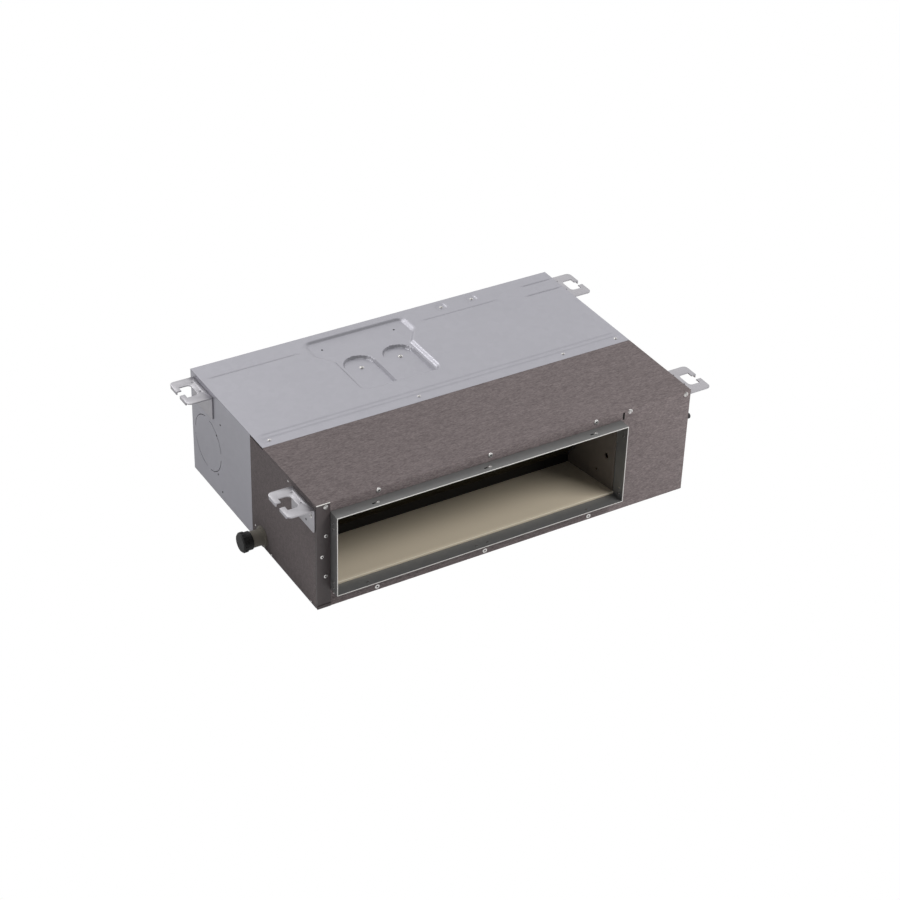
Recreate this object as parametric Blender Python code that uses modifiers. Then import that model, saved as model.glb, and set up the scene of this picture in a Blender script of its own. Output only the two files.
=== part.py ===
"""Slim ducted air conditioner indoor unit, hung above a ceiling by four brackets.

Air enters at the back through a filter, is driven forward by two fan wheels on one motor, passes an
inclined coil over a drain pan, and leaves through the sheet collar at the front.

Metres, +Z up. X runs along the length, -Y is the outlet side, and the origin is the centre of the
casing's underside.
"""

import math

import bmesh
import bpy
from mathutils import Matrix, Vector

# Clearance between pieces that touch
GAP = 0.0003

# Casing
CASE_LENGTH = 0.700
CASE_DEPTH = 0.450
CASE_HEIGHT = 0.198
SHEET = 0.001
FELT = 0.004
FLANGE = 0.014
FRONT_FLANGE = 0.0095
HALF_LENGTH = CASE_LENGTH / 2
FRONT_Y = -CASE_DEPTH / 2
BACK_Y = CASE_DEPTH / 2
METAL_FRONT_Y = FRONT_Y + FELT
METAL_SIDE_X = HALF_LENGTH - FELT
METAL_TOP_Z = CASE_HEIGHT - FELT - GAP
SIDE_TOP_Z = CASE_HEIGHT - SHEET - GAP
FLOOR_Z = SHEET + GAP

# The deck between the fan section behind and the coil section in front, and the sheet joints that follow it
FAN_SECTION = 0.2335
TOP_JOINT_SETBACK = 0.035
SIDE_JOINT_LEAD = 0.0105
TOP_LAP = 0.0225
DECK_Y = BACK_Y - FAN_SECTION
TOP_BORDER_Y = DECK_Y - TOP_JOINT_SETBACK
SIDE_BORDER_Y = DECK_Y + SIDE_JOINT_LEAD

# Coated front strip of the left side sheet
STRIP_WIDTH = 0.0237
STRIP_JOGGLE = 0.0035

# Outlet collar
COLLAR_LEFT_MARGIN = 0.024
PIPE_SPACE = 0.139
COLLAR_BOTTOM = 0.0325
COLLAR_TOP_MARGIN = 0.017
COLLAR_REACH = 0.022
COLLAR_FLANGE = 0.010
COLLAR_STEP = 0.0002
COLLAR_LEFT = -HALF_LENGTH + COLLAR_LEFT_MARGIN
COLLAR_RIGHT = HALF_LENGTH - PIPE_SPACE
COLLAR_TOP = CASE_HEIGHT - COLLAR_TOP_MARGIN
AIR_CENTRE_X = (COLLAR_LEFT + COLLAR_RIGHT) / 2

# Return side
RETURN_DEPTH = 0.025
RETURN_LEFT_MARGIN = 0.050
RETURN_RIGHT_MARGIN = 0.165
RETURN_BOTTOM = 0.024
RETURN_LEFT = -HALF_LENGTH + RETURN_LEFT_MARGIN
RETURN_RIGHT = HALF_LENGTH - RETURN_RIGHT_MARGIN
RETURN_TOP = CASE_HEIGHT - RETURN_BOTTOM
RETURN_Y = BACK_Y - RETURN_DEPTH
FILTER_LAP = 0.006
FILTER_DEPTH = 0.010
FILTER_BAR = 0.010
FILTER_MESH = 0.0015
FILTER_CELLS = 3
FILTER_TAB = 0.012
RAIL_FOOT = 0.009
RAIL_LIP = 0.004

# Motor, in the bay between the two fan housings
MOTOR_OFFSET = 0.0045
MOTOR_BAY = 0.140
MOTOR_END_ROOM = 0.022
MOTOR_RADIUS = 0.050
MOTOR_BOSS = 0.006
MOTOR_BRACKET_SPACING = 0.075
BRACKET_STRAP = 0.004
BRACKET_WIDTH = 0.003
BRACKET_FOOT = 0.017
FAN_SETBACK = 0.106
MOTOR_X = AIR_CENTRE_X + MOTOR_OFFSET
MOTOR_LENGTH = MOTOR_BAY - 2 * MOTOR_END_ROOM
FAN_AXIS_Y = BACK_Y - RETURN_DEPTH - FAN_SETBACK
FAN_AXIS_Z = CASE_HEIGHT / 2

# Fan housings, each a spiral round its wheel
SCROLL_SIDE_ROOM = 0.0385
SCROLL_FLOOR = 0.004
SCROLL_GROWTH = 0.024
SCROLL_WALL = 0.002
SCROLL_MOUTH_DROP = 0.058
SCROLL_START = math.radians(150)
SCROLL_END = math.radians(-90)
SCROLL_STEPS = 24
SCROLL_WIDTH = (COLLAR_RIGHT - COLLAR_LEFT - MOTOR_BAY) / 2 - SCROLL_SIDE_ROOM
SCROLL_END_RADIUS = FAN_AXIS_Z - SCROLL_FLOOR
SCROLL_START_RADIUS = SCROLL_END_RADIUS - SCROLL_GROWTH
SCROLL_MOUTH_TOP = CASE_HEIGHT - SCROLL_MOUTH_DROP
FAN_SPACING = SCROLL_WIDTH + MOTOR_BAY
FAN_CENTRES = (MOTOR_X - FAN_SPACING / 2, MOTOR_X + FAN_SPACING / 2)

# Fan wheels
WHEEL_SIDES = 24
WHEEL_END_ROOM = 0.007
WHEEL_ROOM = 0.006
WHEEL_INLET = 0.011
WHEEL_RING = 0.004
WHEEL_DISC = 0.0024
BLADE_COUNT = 24
BLADE_CHORD = 0.012
BLADE_SHEET = 0.0014
SHAFT_RADIUS = 0.004
HUB_RADIUS = 0.013
HUB_LENGTH = 0.022
FAN_WIDTH = SCROLL_WIDTH - 2 * WHEEL_END_ROOM
FAN_RADIUS = SCROLL_START_RADIUS - WHEEL_ROOM
INLET_RADIUS = FAN_RADIUS - WHEEL_INLET

# Drain pan
PAN_LIP_Z = 0.038
PAN_FLOOR_Z = 0.018
PAN_CHANNEL_Z = 0.016
PAN_CHANNEL_SLOPE = 0.006
PAN_SETBACK = 0.0107
PAN_WALL = 0.0025
LIP_REACH = 0.0035
LIP_THICKNESS = 0.004
LIP_DROP = 0.0002
PAN_FRONT_Y = METAL_FRONT_Y + 2 * SHEET + 2 * GAP
PAN_BACK_Y = DECK_Y - PAN_SETBACK

# Coil, leaning forwards from its foot in the pan until its top is under the casing's top and near its front
COIL_SETBACK = 0.0785
COIL_FOOT_Z = 0.036
COIL_FRONT_ROOM = 0.045
COIL_TOP_ROOM = 0.0034
COIL_LEFT_ROOM = 0.021
COIL_THICKNESS = 0.036
COIL_PLATE = 0.0012
FIN_COUNT = 26
FIN_DEPTH = 0.006
FIN_SHARE = 0.45
TUBE_RADIUS = 0.0035
TUBE_PITCH = 0.0203
TUBE_STANDOFF = 0.0008
SEAL_SETBACK = 0.0305
SEAL_LIFT = 0.0005
COIL_FOOT_Y = DECK_Y - COIL_SETBACK
COIL_LEFT = -HALF_LENGTH + COIL_LEFT_ROOM
COIL_RUN = COIL_FOOT_Y - FRONT_Y - COIL_FRONT_ROOM
COIL_RISE = METAL_TOP_Z - SHEET - COIL_TOP_ROOM - COIL_FOOT_Z

# Inner partition, between the air path and the pipe space
PARTITION_INSET = 0.0025
PARTITION_X = COLLAR_RIGHT - PARTITION_INSET
WIRE_HOLE = (0.029, 0.095, 0.005)
CLIP_HOLE = (0.055, 0.053, 0.0025)

# Drain socket, left side
SOCKET_SETBACK = 0.0275
SOCKET_Z = 0.0215
SOCKET_RADIUS = 0.014
SOCKET_BORE = 0.011
SOCKET_REACH = 0.024
SOCKET_FLANGE = 0.004
SOCKET_FLANGE_THICKNESS = 0.003
CAP_RADIUS = 0.017
CAP_REACH = 0.041
CAP_SKIRT = 0.019
CAP_GRIP = 0.009
CAP_NECK = 0.0012
SOCKET_Y = DECK_Y - SOCKET_SETBACK

# Hanging brackets
HANGER_REACH = 0.045
HANGER_LENGTH = 0.075
HANGER_SHEET = 0.002
HANGER_TOP_DROP = 0.009
HANGER_DROP = 0.043
HANGER_LIP = 0.004
HANGER_CORNER = 0.008
SLOT_MOUTH = 0.013
SLOT_LENGTH = 0.034
SLOT_INNER = 0.016
SLOT_OUTER = 0.036
FRONT_HANGER_INSET = 0.0415
REAR_HANGER_INSET = 0.0485
HANGER_TOP = CASE_HEIGHT - HANGER_TOP_DROP

# Knock-out in the left side
KNOCKOUT_INSET = 0.060
KNOCKOUT_Z = 0.085
KNOCKOUT_RADIUS = 0.050
KNOCKOUT_SLIT = 0.0012
KNOCKOUT_Y = BACK_Y - KNOCKOUT_INSET

# Pressed forms in the rear top panel: a two-step bead behind its front edge, a motor recess with two deeper
# pads for the motor brackets, two small square pads and three stiffening grooves
PRESS_SLOPE = 0.004
BEAD_SIDE_ROOM = 0.009
BEAD_FRONT = 0.0135
BEAD_STEP = 0.0245
BEAD_BACK = 0.0325
BEAD_SLOPE = 0.003
BEAD_SHELF_DEPTH = 0.0013
BEAD_DEPTH = 0.0026
RECESS_DEPTH = 0.0045
RECESS_SLOPE = 0.007
RECESS_SETBACK = 0.022
RECESS_WIDE_REACH = 0.032
RECESS_TAPER = 0.030
RECESS_HALF_WIDE = 0.092
RECESS_HALF_NECK = 0.070
PAD_DEPTH = 0.0095
PAD_RADIUS = 0.027
PAD_ARCH_LEAD = 0.016
PAD_FOOT_Y = 0.058
SQUARE_PAD = 0.012
SQUARE_PAD_DEPTH = 0.0018
SQUARE_PAD_SETBACK = 0.020
SQUARE_PAD_INSETS = (0.228, 0.166)
GROOVE_WIDTH = 0.0012
GROOVE_DEPTH = 0.0009
GROOVE_SLOPE = 0.0012
GROOVE_SETBACK = 0.043
LEFT_GROOVE_INSET = 0.016
MIDDLE_GROOVE_LEAD = 0.130
RIGHT_GROOVE_INSETS = (0.126, 0.070, 0.016)
RIGHT_GROOVE_SETBACKS = (0.026, 0.059)

# Pipes
GAS_PIPE_RADIUS = 0.00635
LIQUID_PIPE_RADIUS = 0.0032
PIPE_REACH = 0.034
PIPE_SETBACK = 0.075
GAS_PIPE_Z = CASE_HEIGHT - 0.060
LIQUID_PIPE_Z = GAS_PIPE_Z - 0.0235
PIPE_CLEARANCE = 0.0003
NUT_LENGTH = 0.016
NUT_INSET = 0.018
PIPE_Y = FRONT_Y + PIPE_SETBACK

# Drain pump and float switch, in the pipe space over the pan's sump
PUMP_INSET = 0.074
PUMP_SETBACK = 0.004
PUMP_RADIUS = 0.024
PUMP_MOTOR_RADIUS = 0.020
PUMP_TOP = 0.0995
PUMP_CHAMBER_TOP = 0.062
PUMP_CHAMBER_BOTTOM = 0.038
PUMP_INLET = 0.008
PUMP_INLET_Z = 0.024
PUMP_WALL = 0.0025
PUMP_ARM = 0.014
OUTLET_RADIUS = 0.0128
OUTLET_BORE = 0.0095
OUTLET_Z = 0.083
OUTLET_REACH = 0.022
FLOAT_INSET = 0.040
FLOAT_LEAD = 0.021
FLOAT_RADIUS = 0.012
FLOAT_STEM = 0.0025
FLOAT_BOTTOM = 0.0208
FLOAT_TOP = 0.0358
SWITCH_HEAD_Z = 0.060
SWITCH_HEAD_RADIUS = 0.007
STEM_FOOT_Z = 0.0190
PUMP_X = HALF_LENGTH - PUMP_INSET
PUMP_Y = COIL_FOOT_Y - PUMP_SETBACK
FLOAT_X = HALF_LENGTH - FLOAT_INSET
FLOAT_Y = COIL_FOOT_Y + FLOAT_LEAD

# Control box behind the service cover on the right side
COVER_CORNER = 0.004
BOX_SETBACK = 0.0205
BOX_LENGTH = 0.120
BOX_BOTTOM = 0.030
BOX_DEPTH = 0.112
COVER_LAP = 0.006
TERMINAL_COUNT = 6
TERMINAL_PITCH = 0.009
TERMINAL_WALL = 0.0025
BOARD_MARGIN = 0.010
BOARD_FOOT = 0.040
BOARD_SHEET = 0.0016
STANDOFF = 0.006
CABLE_HOLE_INSET = 0.020
BOX_CLEARANCE = 0.002
BOX_FRONT = DECK_Y + BOX_SETBACK
BOX_BACK = BOX_FRONT + BOX_LENGTH
BOX_TOP = HANGER_TOP - HANGER_DROP - BOX_CLEARANCE - COVER_LAP

# Black knurled screw on the right side
SCREW_SETBACK = 0.008
SCREW_DROP = 0.057
SCREW_RADIUS = 0.005
SCREW_REACH = 0.007

for old in list(bpy.data.objects):
    bpy.data.objects.remove(old, do_unlink=True)

PARTS = bpy.data.collections.new("air_conditioner_indoor_unit")
CUTTERS = bpy.data.collections.new("cutters")
bpy.context.scene.collection.children.link(PARTS)
bpy.context.scene.collection.children.link(CUTTERS)


# Materials

def material(name, colour, roughness, metallic):
    made = bpy.data.materials.new(name)
    made.use_nodes = True
    shader = made.node_tree.nodes["Principled BSDF"]
    shader.inputs["Base Color"].default_value = (*colour, 1.0)
    shader.inputs["Roughness"].default_value = roughness
    shader.inputs["Metallic"].default_value = metallic
    made.diffuse_color = (*colour, 1.0)
    return made


def finished(obj, finish):
    """Gives a piece its own material, named for the piece."""
    obj.data.materials.clear()
    obj.data.materials.append(material(obj.name, *finish))
    return obj


ZINC = ((0.43, 0.43, 0.47), 0.45, 0.7)
DARK_FELT = ((0.20, 0.18, 0.17), 0.95, 0.0)
BRACKET_STEEL = ((0.40, 0.39, 0.41), 0.45, 0.6)
BEIGE_PLASTIC = ((0.25, 0.21, 0.15), 0.6, 0.0)
GREY_PLASTIC = ((0.25, 0.24, 0.22), 0.55, 0.0)
BLACK_RUBBER = ((0.012, 0.012, 0.012), 0.6, 0.0)
BLACK_PLASTIC = ((0.02, 0.02, 0.022), 0.5, 0.0)
WHITE_PLASTIC = ((0.65, 0.65, 0.62), 0.5, 0.0)
ALUMINIUM = ((0.60, 0.61, 0.62), 0.4, 0.9)
COPPER = ((0.55, 0.24, 0.13), 0.35, 1.0)
BRASS = ((0.55, 0.40, 0.15), 0.35, 1.0)
BOARD_GREEN = ((0.02, 0.12, 0.05), 0.5, 0.0)
STEEL = ((0.50, 0.50, 0.50), 0.3, 1.0)


# Outlines, as lists of (u, v) points

def rectangle(low_u, low_v, high_u, high_v):
    return [(low_u, low_v), (high_u, low_v), (high_u, high_v), (low_u, high_v)]


def arc(centre, radius, start, end, steps):
    turn = (end - start) / steps
    return [
        (centre[0] + radius * math.cos(start + turn * i), centre[1] + radius * math.sin(start + turn * i))
        for i in range(steps + 1)
    ]


def circle(centre, radius, steps=24):
    return arc(centre, radius, 0.0, 2 * math.pi, steps)[:-1]


def rounded_rectangle(low_u, low_v, high_u, high_v, radius, steps=4):
    corners = (
        ((high_u - radius, low_v + radius), -90),
        ((high_u - radius, high_v - radius), 0),
        ((low_u + radius, high_v - radius), 90),
        ((low_u + radius, low_v + radius), 180),
    )
    points = []
    for centre, start in corners:
        points += arc(centre, radius, math.radians(start), math.radians(start + 90), steps)
    return points


def thick_line(points, thickness):
    """The outline of a folded sheet: the fold line and the same line moved to its left, with mitred bends."""
    path = [Vector(point) for point in points]
    moved = []
    for i, point in enumerate(path):
        before = (path[i] - path[i - 1]).normalized() if i else None
        after = (path[i + 1] - path[i]).normalized() if i + 1 < len(path) else None
        first = before or after
        second = after or before
        left = (Vector((-first.y, first.x)) + Vector((-second.y, second.x))).normalized()
        reach = thickness / left.dot(Vector((-first.y, first.x)))
        moved.append(point + left * reach)
    return [tuple(point) for point in path] + [tuple(point) for point in reversed(moved)]


# Solids

def place(obj, name, target):
    obj.name = name
    for holder in list(obj.users_collection):
        holder.objects.unlink(obj)
    target.objects.link(obj)
    if target is CUTTERS:
        obj.hide_render = True
        obj.display_type = "WIRE"
    return obj


AXES = {
    "XY": Matrix(((1, 0, 0, 0), (0, 1, 0, 0), (0, 0, 1, 0), (0, 0, 0, 1))),
    "XZ": Matrix(((1, 0, 0, 0), (0, 0, -1, 0), (0, 1, 0, 0), (0, 0, 0, 1))),
    "YZ": Matrix(((0, 0, 1, 0), (1, 0, 0, 0), (0, 1, 0, 0), (0, 0, 0, 1))),
}
THICKNESS_AXIS = {"XY": "z", "XZ": "y", "YZ": "x"}


def plate(name, outlines, plane, low, high, target=PARTS):
    """Flat outlines on a plane of the casing, from low to high along the third axis. Later outlines are holes."""
    curve = bpy.data.curves.new(name, "CURVE")
    curve.dimensions = "2D"
    curve.fill_mode = "BOTH"
    curve.extrude = (high - low) / 2
    for outline in outlines:
        spline = curve.splines.new("POLY")
        spline.points.add(len(outline) - 1)
        for point, (u, v) in zip(spline.points, outline):
            point.co = (u, v, 0.0, 1.0)
        spline.use_cyclic_u = True
    drawn = bpy.data.objects.new(name, curve)
    bpy.context.scene.collection.objects.link(drawn)
    middle = Vector((0.0, 0.0, 0.0))
    setattr(middle, THICKNESS_AXIS[plane], (low + high) / 2)
    drawn.matrix_world = Matrix.Translation(middle) @ AXES[plane]
    return mesh_of(drawn, name, target)


def mesh_of(drawn, name, target=PARTS):
    """A mesh object in the place of a curve, with the curve's caps welded on."""
    bpy.context.view_layer.update()
    graph = bpy.context.evaluated_depsgraph_get()
    mesh = bpy.data.meshes.new_from_object(drawn.evaluated_get(graph))
    shape = bmesh.new()
    shape.from_mesh(mesh)
    bmesh.ops.remove_doubles(shape, verts=shape.verts, dist=0.000001)
    bmesh.ops.recalc_face_normals(shape, faces=shape.faces)
    shape.to_mesh(mesh)
    shape.free()
    made = bpy.data.objects.new(name + "_made", mesh)
    made.matrix_world = drawn.matrix_world
    bpy.data.objects.remove(drawn, do_unlink=True)
    return place(made, name, target)


def box(name, low, high, target=PARTS):
    size = [b - a for a, b in zip(low, high)]
    bpy.ops.mesh.primitive_cube_add(size=1.0, location=[(a + b) / 2 for a, b in zip(low, high)])
    obj = bpy.context.object
    obj.scale = size
    bpy.ops.object.transform_apply(location=False, rotation=False, scale=True)
    return place(obj, name, target)


def cylinder(name, radius, start, end, target=PARTS, sides=24):
    """A round bar from one point to another."""
    run = Vector(end) - Vector(start)
    bpy.ops.mesh.primitive_cylinder_add(vertices=sides, radius=radius, depth=run.length)
    obj = bpy.context.object
    obj.rotation_euler = run.to_track_quat("Z", "Y").to_euler()
    obj.location = (Vector(start) + Vector(end)) / 2
    return place(obj, name, target)


def turned(name, profile, origin, direction, target=PARTS, steps=32):
    """A profile of (radius, height) points, outer side from top to bottom, turned about a line through origin."""
    mesh = bpy.data.meshes.new(name)
    count = len(profile)
    closed = profile[0][0] > 0.0
    edges = [(i, i + 1) for i in range(count - 1)] + ([(count - 1, 0)] if closed else [])
    mesh.from_pydata([(radius, 0.0, height) for radius, height in profile], edges, [])
    obj = bpy.data.objects.new(name + "_made", mesh)
    obj.location = origin
    obj.rotation_euler = Vector(direction).to_track_quat("Z", "Y").to_euler()
    place(obj, name, target)
    screw = obj.modifiers.new("turn", "SCREW")
    screw.steps = steps
    screw.render_steps = steps
    screw.use_merge_vertices = True
    screw.merge_threshold = 0.000001
    return obj


def tube(name, points, radius, target=PARTS, resolution=3):
    curve = bpy.data.curves.new(name, "CURVE")
    curve.dimensions = "3D"
    curve.bevel_depth = radius
    curve.bevel_resolution = resolution
    curve.use_fill_caps = True
    spline = curve.splines.new("POLY")
    spline.points.add(len(points) - 1)
    for point, place_ in zip(spline.points, points):
        point.co = (*place_, 1.0)
    drawn = bpy.data.objects.new(name, curve)
    bpy.context.scene.collection.objects.link(drawn)
    return mesh_of(drawn, name, target)


def bent(points, radius, steps=4):
    """A pipe's route: straight runs with each inner point turned into a bend of this radius."""
    path = [Vector(point) for point in points]
    route = [path[0]]
    for before, corner, after in zip(path, path[1:], path[2:]):
        back = (before - corner).normalized()
        on = (after - corner).normalized()
        half = back.angle(on) / 2
        reach = radius / math.tan(half)
        centre = corner + (back + on).normalized() * (radius / math.sin(half))
        start = (corner + back * reach - centre).normalized()
        end = (corner + on * reach - centre).normalized()
        for i in range(steps + 1):
            route.append(centre + start.slerp(end, i / steps) * radius)
    route.append(path[-1])
    return route


def combine(obj, tool, operation):
    """Cuts, joins or intersects with another solid, which becomes a hidden tool."""
    place(tool, tool.name, CUTTERS)
    modifier = obj.modifiers.new(tool.name, "BOOLEAN")
    modifier.operation = operation
    modifier.object = tool
    modifier.solver = "EXACT"
    return obj


def cut(obj, *tools):
    for tool in tools:
        combine(obj, tool, "DIFFERENCE")
    return obj


def join(obj, *tools):
    for tool in tools:
        combine(obj, tool, "UNION")
    return obj


# Casing: the pressed rear top panel

def pressed(panel, name, outline, depth, slope=PRESS_SLOPE):
    """Presses an outline down into the panel, with sloped walls and the sheet's thickness below."""
    top = CASE_HEIGHT
    outer = drafted(name + "_under", outline, top - SHEET / 2, top - depth - SHEET, slope + SHEET, SHEET)
    inner = drafted(name + "_press", outline, top + SHEET, top - depth, slope * (depth + SHEET) / depth, 0.0)
    join(panel, outer)
    cut(panel, inner)


def drafted(name, outline, top, bottom, slope, grow):
    """A solid whose bottom outline is the given one grown by a sheet, and whose top is wider by the slope."""
    mesh = bpy.data.meshes.new(name)
    shape = bmesh.new()
    rings = []
    for height, reach in ((bottom, grow), (top, grow + slope)):
        rings.append([shape.verts.new((*point, height)) for point in offset(outline, reach)])
    low, high = rings
    count = len(outline)
    for i in range(count):
        shape.faces.new((low[i], low[(i + 1) % count], high[(i + 1) % count], high[i]))
    shape.faces.new(list(reversed(low)))
    shape.faces.new(high)
    bmesh.ops.recalc_face_normals(shape, faces=shape.faces)
    shape.to_mesh(mesh)
    shape.free()
    return place(bpy.data.objects.new(name + "_made", mesh), name, CUTTERS)


def offset(outline, reach):
    """The outline, drawn anticlockwise, moved outwards by a distance, with mitred corners."""
    path = [Vector(point) for point in outline]
    moved = []
    for i, point in enumerate(path):
        before = (point - path[i - 1]).normalized()
        after = (path[(i + 1) % len(path)] - point).normalized()
        out = Vector((before.y, -before.x))
        bisector = (out + Vector((after.y, -after.x))).normalized()
        moved.append(tuple(point + bisector * (reach / max(bisector.dot(out), 0.5))))
    return moved


def recess_outline():
    """The floor of the motor recess: wide under the panel's back edge, narrower where it runs out over the motor."""
    back = BACK_Y - RECESS_SETBACK
    step = back - RECESS_WIDE_REACH
    neck = step - RECESS_TAPER
    front = FAN_AXIS_Y - PAD_FOOT_Y
    half = (
        (RECESS_HALF_NECK, front),
        (RECESS_HALF_NECK, neck),
        (RECESS_HALF_WIDE, step),
        (RECESS_HALF_WIDE, back),
    )
    right = [(MOTOR_X + u, v) for u, v in half]
    left = [(MOTOR_X - u, v) for u, v in reversed(half)]
    return right + left


def pad_outline(x):
    """The arched pad that a motor bracket hangs from, with straight legs down to the recess's front."""
    arch = arc((x, FAN_AXIS_Y + PAD_ARCH_LEAD), PAD_RADIUS, 0.0, math.pi, 10)
    foot = FAN_AXIS_Y - PAD_FOOT_Y + PRESS_SLOPE
    return arch + [(x - PAD_RADIUS, foot), (x + PAD_RADIUS, foot)]


def groove(panel, name, low_x, high_x, y):
    half = GROOVE_WIDTH / 2
    pressed(panel, name, rectangle(low_x, y - half, high_x, y + half), GROOVE_DEPTH, GROOVE_SLOPE)


PAD_LEFT_X = MOTOR_X - MOTOR_BRACKET_SPACING / 2
PAD_RIGHT_X = MOTOR_X + MOTOR_BRACKET_SPACING / 2


def rear_top_panel():
    """The galvanised sheet over the fans, with all its pressed forms."""
    panel = plate("rear_top_panel", [rectangle(-HALF_LENGTH, TOP_BORDER_Y, HALF_LENGTH, BACK_Y)], "XY",
                  CASE_HEIGHT - SHEET, CASE_HEIGHT)
    half = HALF_LENGTH - BEAD_SIDE_ROOM - BEAD_SLOPE
    front = TOP_BORDER_Y + BEAD_FRONT
    step = TOP_BORDER_Y + BEAD_STEP
    shelf = rectangle(-half + SHEET, step - SHEET, half - SHEET, TOP_BORDER_Y + BEAD_BACK)
    pressed(panel, "bead_shelf", shelf, BEAD_SHELF_DEPTH, BEAD_SLOPE)
    pressed(panel, "bead", rectangle(-half, front, half, step), BEAD_DEPTH, BEAD_SLOPE)
    pressed(panel, "motor_recess", recess_outline(), RECESS_DEPTH, RECESS_SLOPE)
    for name, x in (("left_pad", PAD_LEFT_X), ("right_pad", PAD_RIGHT_X)):
        pressed(panel, name, pad_outline(x), PAD_DEPTH)
    y = BACK_Y - SQUARE_PAD_SETBACK
    reach = SQUARE_PAD / 2
    for i, inset in enumerate(SQUARE_PAD_INSETS):
        x = HALF_LENGTH - inset
        pressed(panel, f"square_pad_{i}", rectangle(x - reach, y - reach, x + reach, y + reach), SQUARE_PAD_DEPTH)
    y = BACK_Y - GROOVE_SETBACK
    clear = RECESS_HALF_WIDE + RECESS_SLOPE + PAD_RADIUS / 2
    far, near, edge = RIGHT_GROOVE_INSETS
    groove(panel, "left_groove", -HALF_LENGTH + LEFT_GROOVE_INSET, MOTOR_X - clear, y)
    groove(panel, "middle_groove", MOTOR_X + MIDDLE_GROOVE_LEAD, HALF_LENGTH - far, y)
    for i, setback in enumerate(RIGHT_GROOVE_SETBACKS):
        groove(panel, f"right_groove_{i}", HALF_LENGTH - near, HALF_LENGTH - edge, BACK_Y - setback)
    return finished(panel, ZINC)


# Casing: the other bare sheets and the metal under the felt

def side_sign(side):
    return -1.0 if side == "left" else 1.0


def spanning(side, near, far):
    """The low and high x of a stretch measured outwards from the middle, on either side."""
    ends = sorted((side_sign(side) * near, side_sign(side) * far))
    return ends[0], ends[1]


def rear_side_panel(side):
    """Bare side sheet with turned-in edges at top, bottom and back, stepped in at the front to lap the next sheet."""
    sign = side_sign(side)
    outer = sign * HALF_LENGTH
    inner = sign * (METAL_SIDE_X - SHEET - GAP)
    fold = [
        (outer - sign * FLANGE, BACK_Y),
        (outer, BACK_Y),
        (outer, SIDE_BORDER_Y),
        (inner, SIDE_BORDER_Y),
        (inner, SIDE_BORDER_Y - FLANGE),
    ]
    if side == "right":
        fold.reverse()
    outline = thick_line(fold, SHEET)
    panel = plate(side + "_rear_panel", [outline], "XY", FLOOR_Z, SIDE_TOP_Z)
    low, high = spanning(side, HALF_LENGTH - FLANGE, HALF_LENGTH - SHEET / 2)
    for name, bottom in (("bottom", FLOOR_Z), ("top", SIDE_TOP_Z - SHEET)):
        join(panel, box(f"{side}_{name}_edge", (low, SIDE_BORDER_Y + SHEET / 2, bottom),
                        (high, BACK_Y - SHEET / 2, bottom + SHEET)))
    return panel


def slit(name, centre, radius, start, end, low, high):
    """A cutter for part of a round slit through a side sheet."""
    outer = arc(centre, radius + KNOCKOUT_SLIT / 2, math.radians(start), math.radians(end), 10)
    inner = arc(centre, radius - KNOCKOUT_SLIT / 2, math.radians(end), math.radians(start), 10)
    return plate(name, [outer + inner], "YZ", low, high, CUTTERS)


def left_rear_panel():
    panel = rear_side_panel("left")
    low, high = spanning("left", HALF_LENGTH - 2 * SHEET, HALF_LENGTH + SHEET)
    centre = (KNOCKOUT_Y, KNOCKOUT_Z)
    for i, (start, end) in enumerate(((100, 172), (188, 262), (278, 352), (8, 82))):
        cut(panel, slit(f"knockout_slit_{i}", centre, KNOCKOUT_RADIUS, start, end, low, high))
    finished(panel, ZINC)


def right_rear_panel():
    panel = rear_side_panel("right")
    low, high = spanning("right", HALF_LENGTH - 2 * SHEET, HALF_LENGTH + SHEET)
    lap = COVER_LAP
    cut(panel, box("service_opening", (low, BOX_FRONT + lap, BOX_BOTTOM + lap),
                   (high, BOX_BACK - lap, BOX_TOP - lap)))
    finished(panel, ZINC)


def service_cover():
    """The screwed cover over the control box."""
    inner = HALF_LENGTH + GAP
    outline = rounded_rectangle(BOX_FRONT - COVER_LAP, BOX_BOTTOM - COVER_LAP, BOX_BACK, BOX_TOP + COVER_LAP,
                                COVER_CORNER)
    cover = plate("service_cover", [outline], "YZ", inner, inner + SHEET)
    return finished(cover, ZINC)


def left_front_panel():
    """Side sheet of the coil section under the felt, joggled out at the front into the coated strip by the collar."""
    joggle = FRONT_Y + STRIP_JOGGLE
    strip_x = -HALF_LENGTH + STRIP_WIDTH
    wall = [(-METAL_SIDE_X, SIDE_BORDER_Y - GAP), (-METAL_SIDE_X, joggle), (-HALF_LENGTH, joggle),
            (-HALF_LENGTH, FRONT_Y), (strip_x, FRONT_Y)]
    panel = plate("left_front_panel", [thick_line(wall, SHEET)], "XY", FLOOR_Z, METAL_TOP_Z - SHEET - GAP)
    strip = box("front_strip", (-HALF_LENGTH, FRONT_Y, 0.0), (strip_x, FRONT_Y + SHEET, CASE_HEIGHT))
    low, high = spanning("left", METAL_SIDE_X - 3 * SHEET, METAL_SIDE_X + SHEET)
    finished(cut(join(panel, strip), socket_hole("left_panel_socket_hole", low, high)), ZINC)


def right_front_panel():
    """Side sheet of the coil section under the felt, with its front edge turned in behind the front panel."""
    front = METAL_FRONT_Y + SHEET + GAP
    fold = [(METAL_SIDE_X - FRONT_FLANGE, front), (METAL_SIDE_X, front), (METAL_SIDE_X, SIDE_BORDER_Y - GAP)]
    panel = plate("right_front_panel", [thick_line(fold, SHEET)], "XY", FLOOR_Z, METAL_TOP_Z - SHEET - GAP)
    low, high = spanning("right", METAL_SIDE_X - 3 * SHEET, METAL_SIDE_X + SHEET)
    finished(cut(panel, *pipe_holes("right_panel_hole", low, high)), ZINC)


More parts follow.
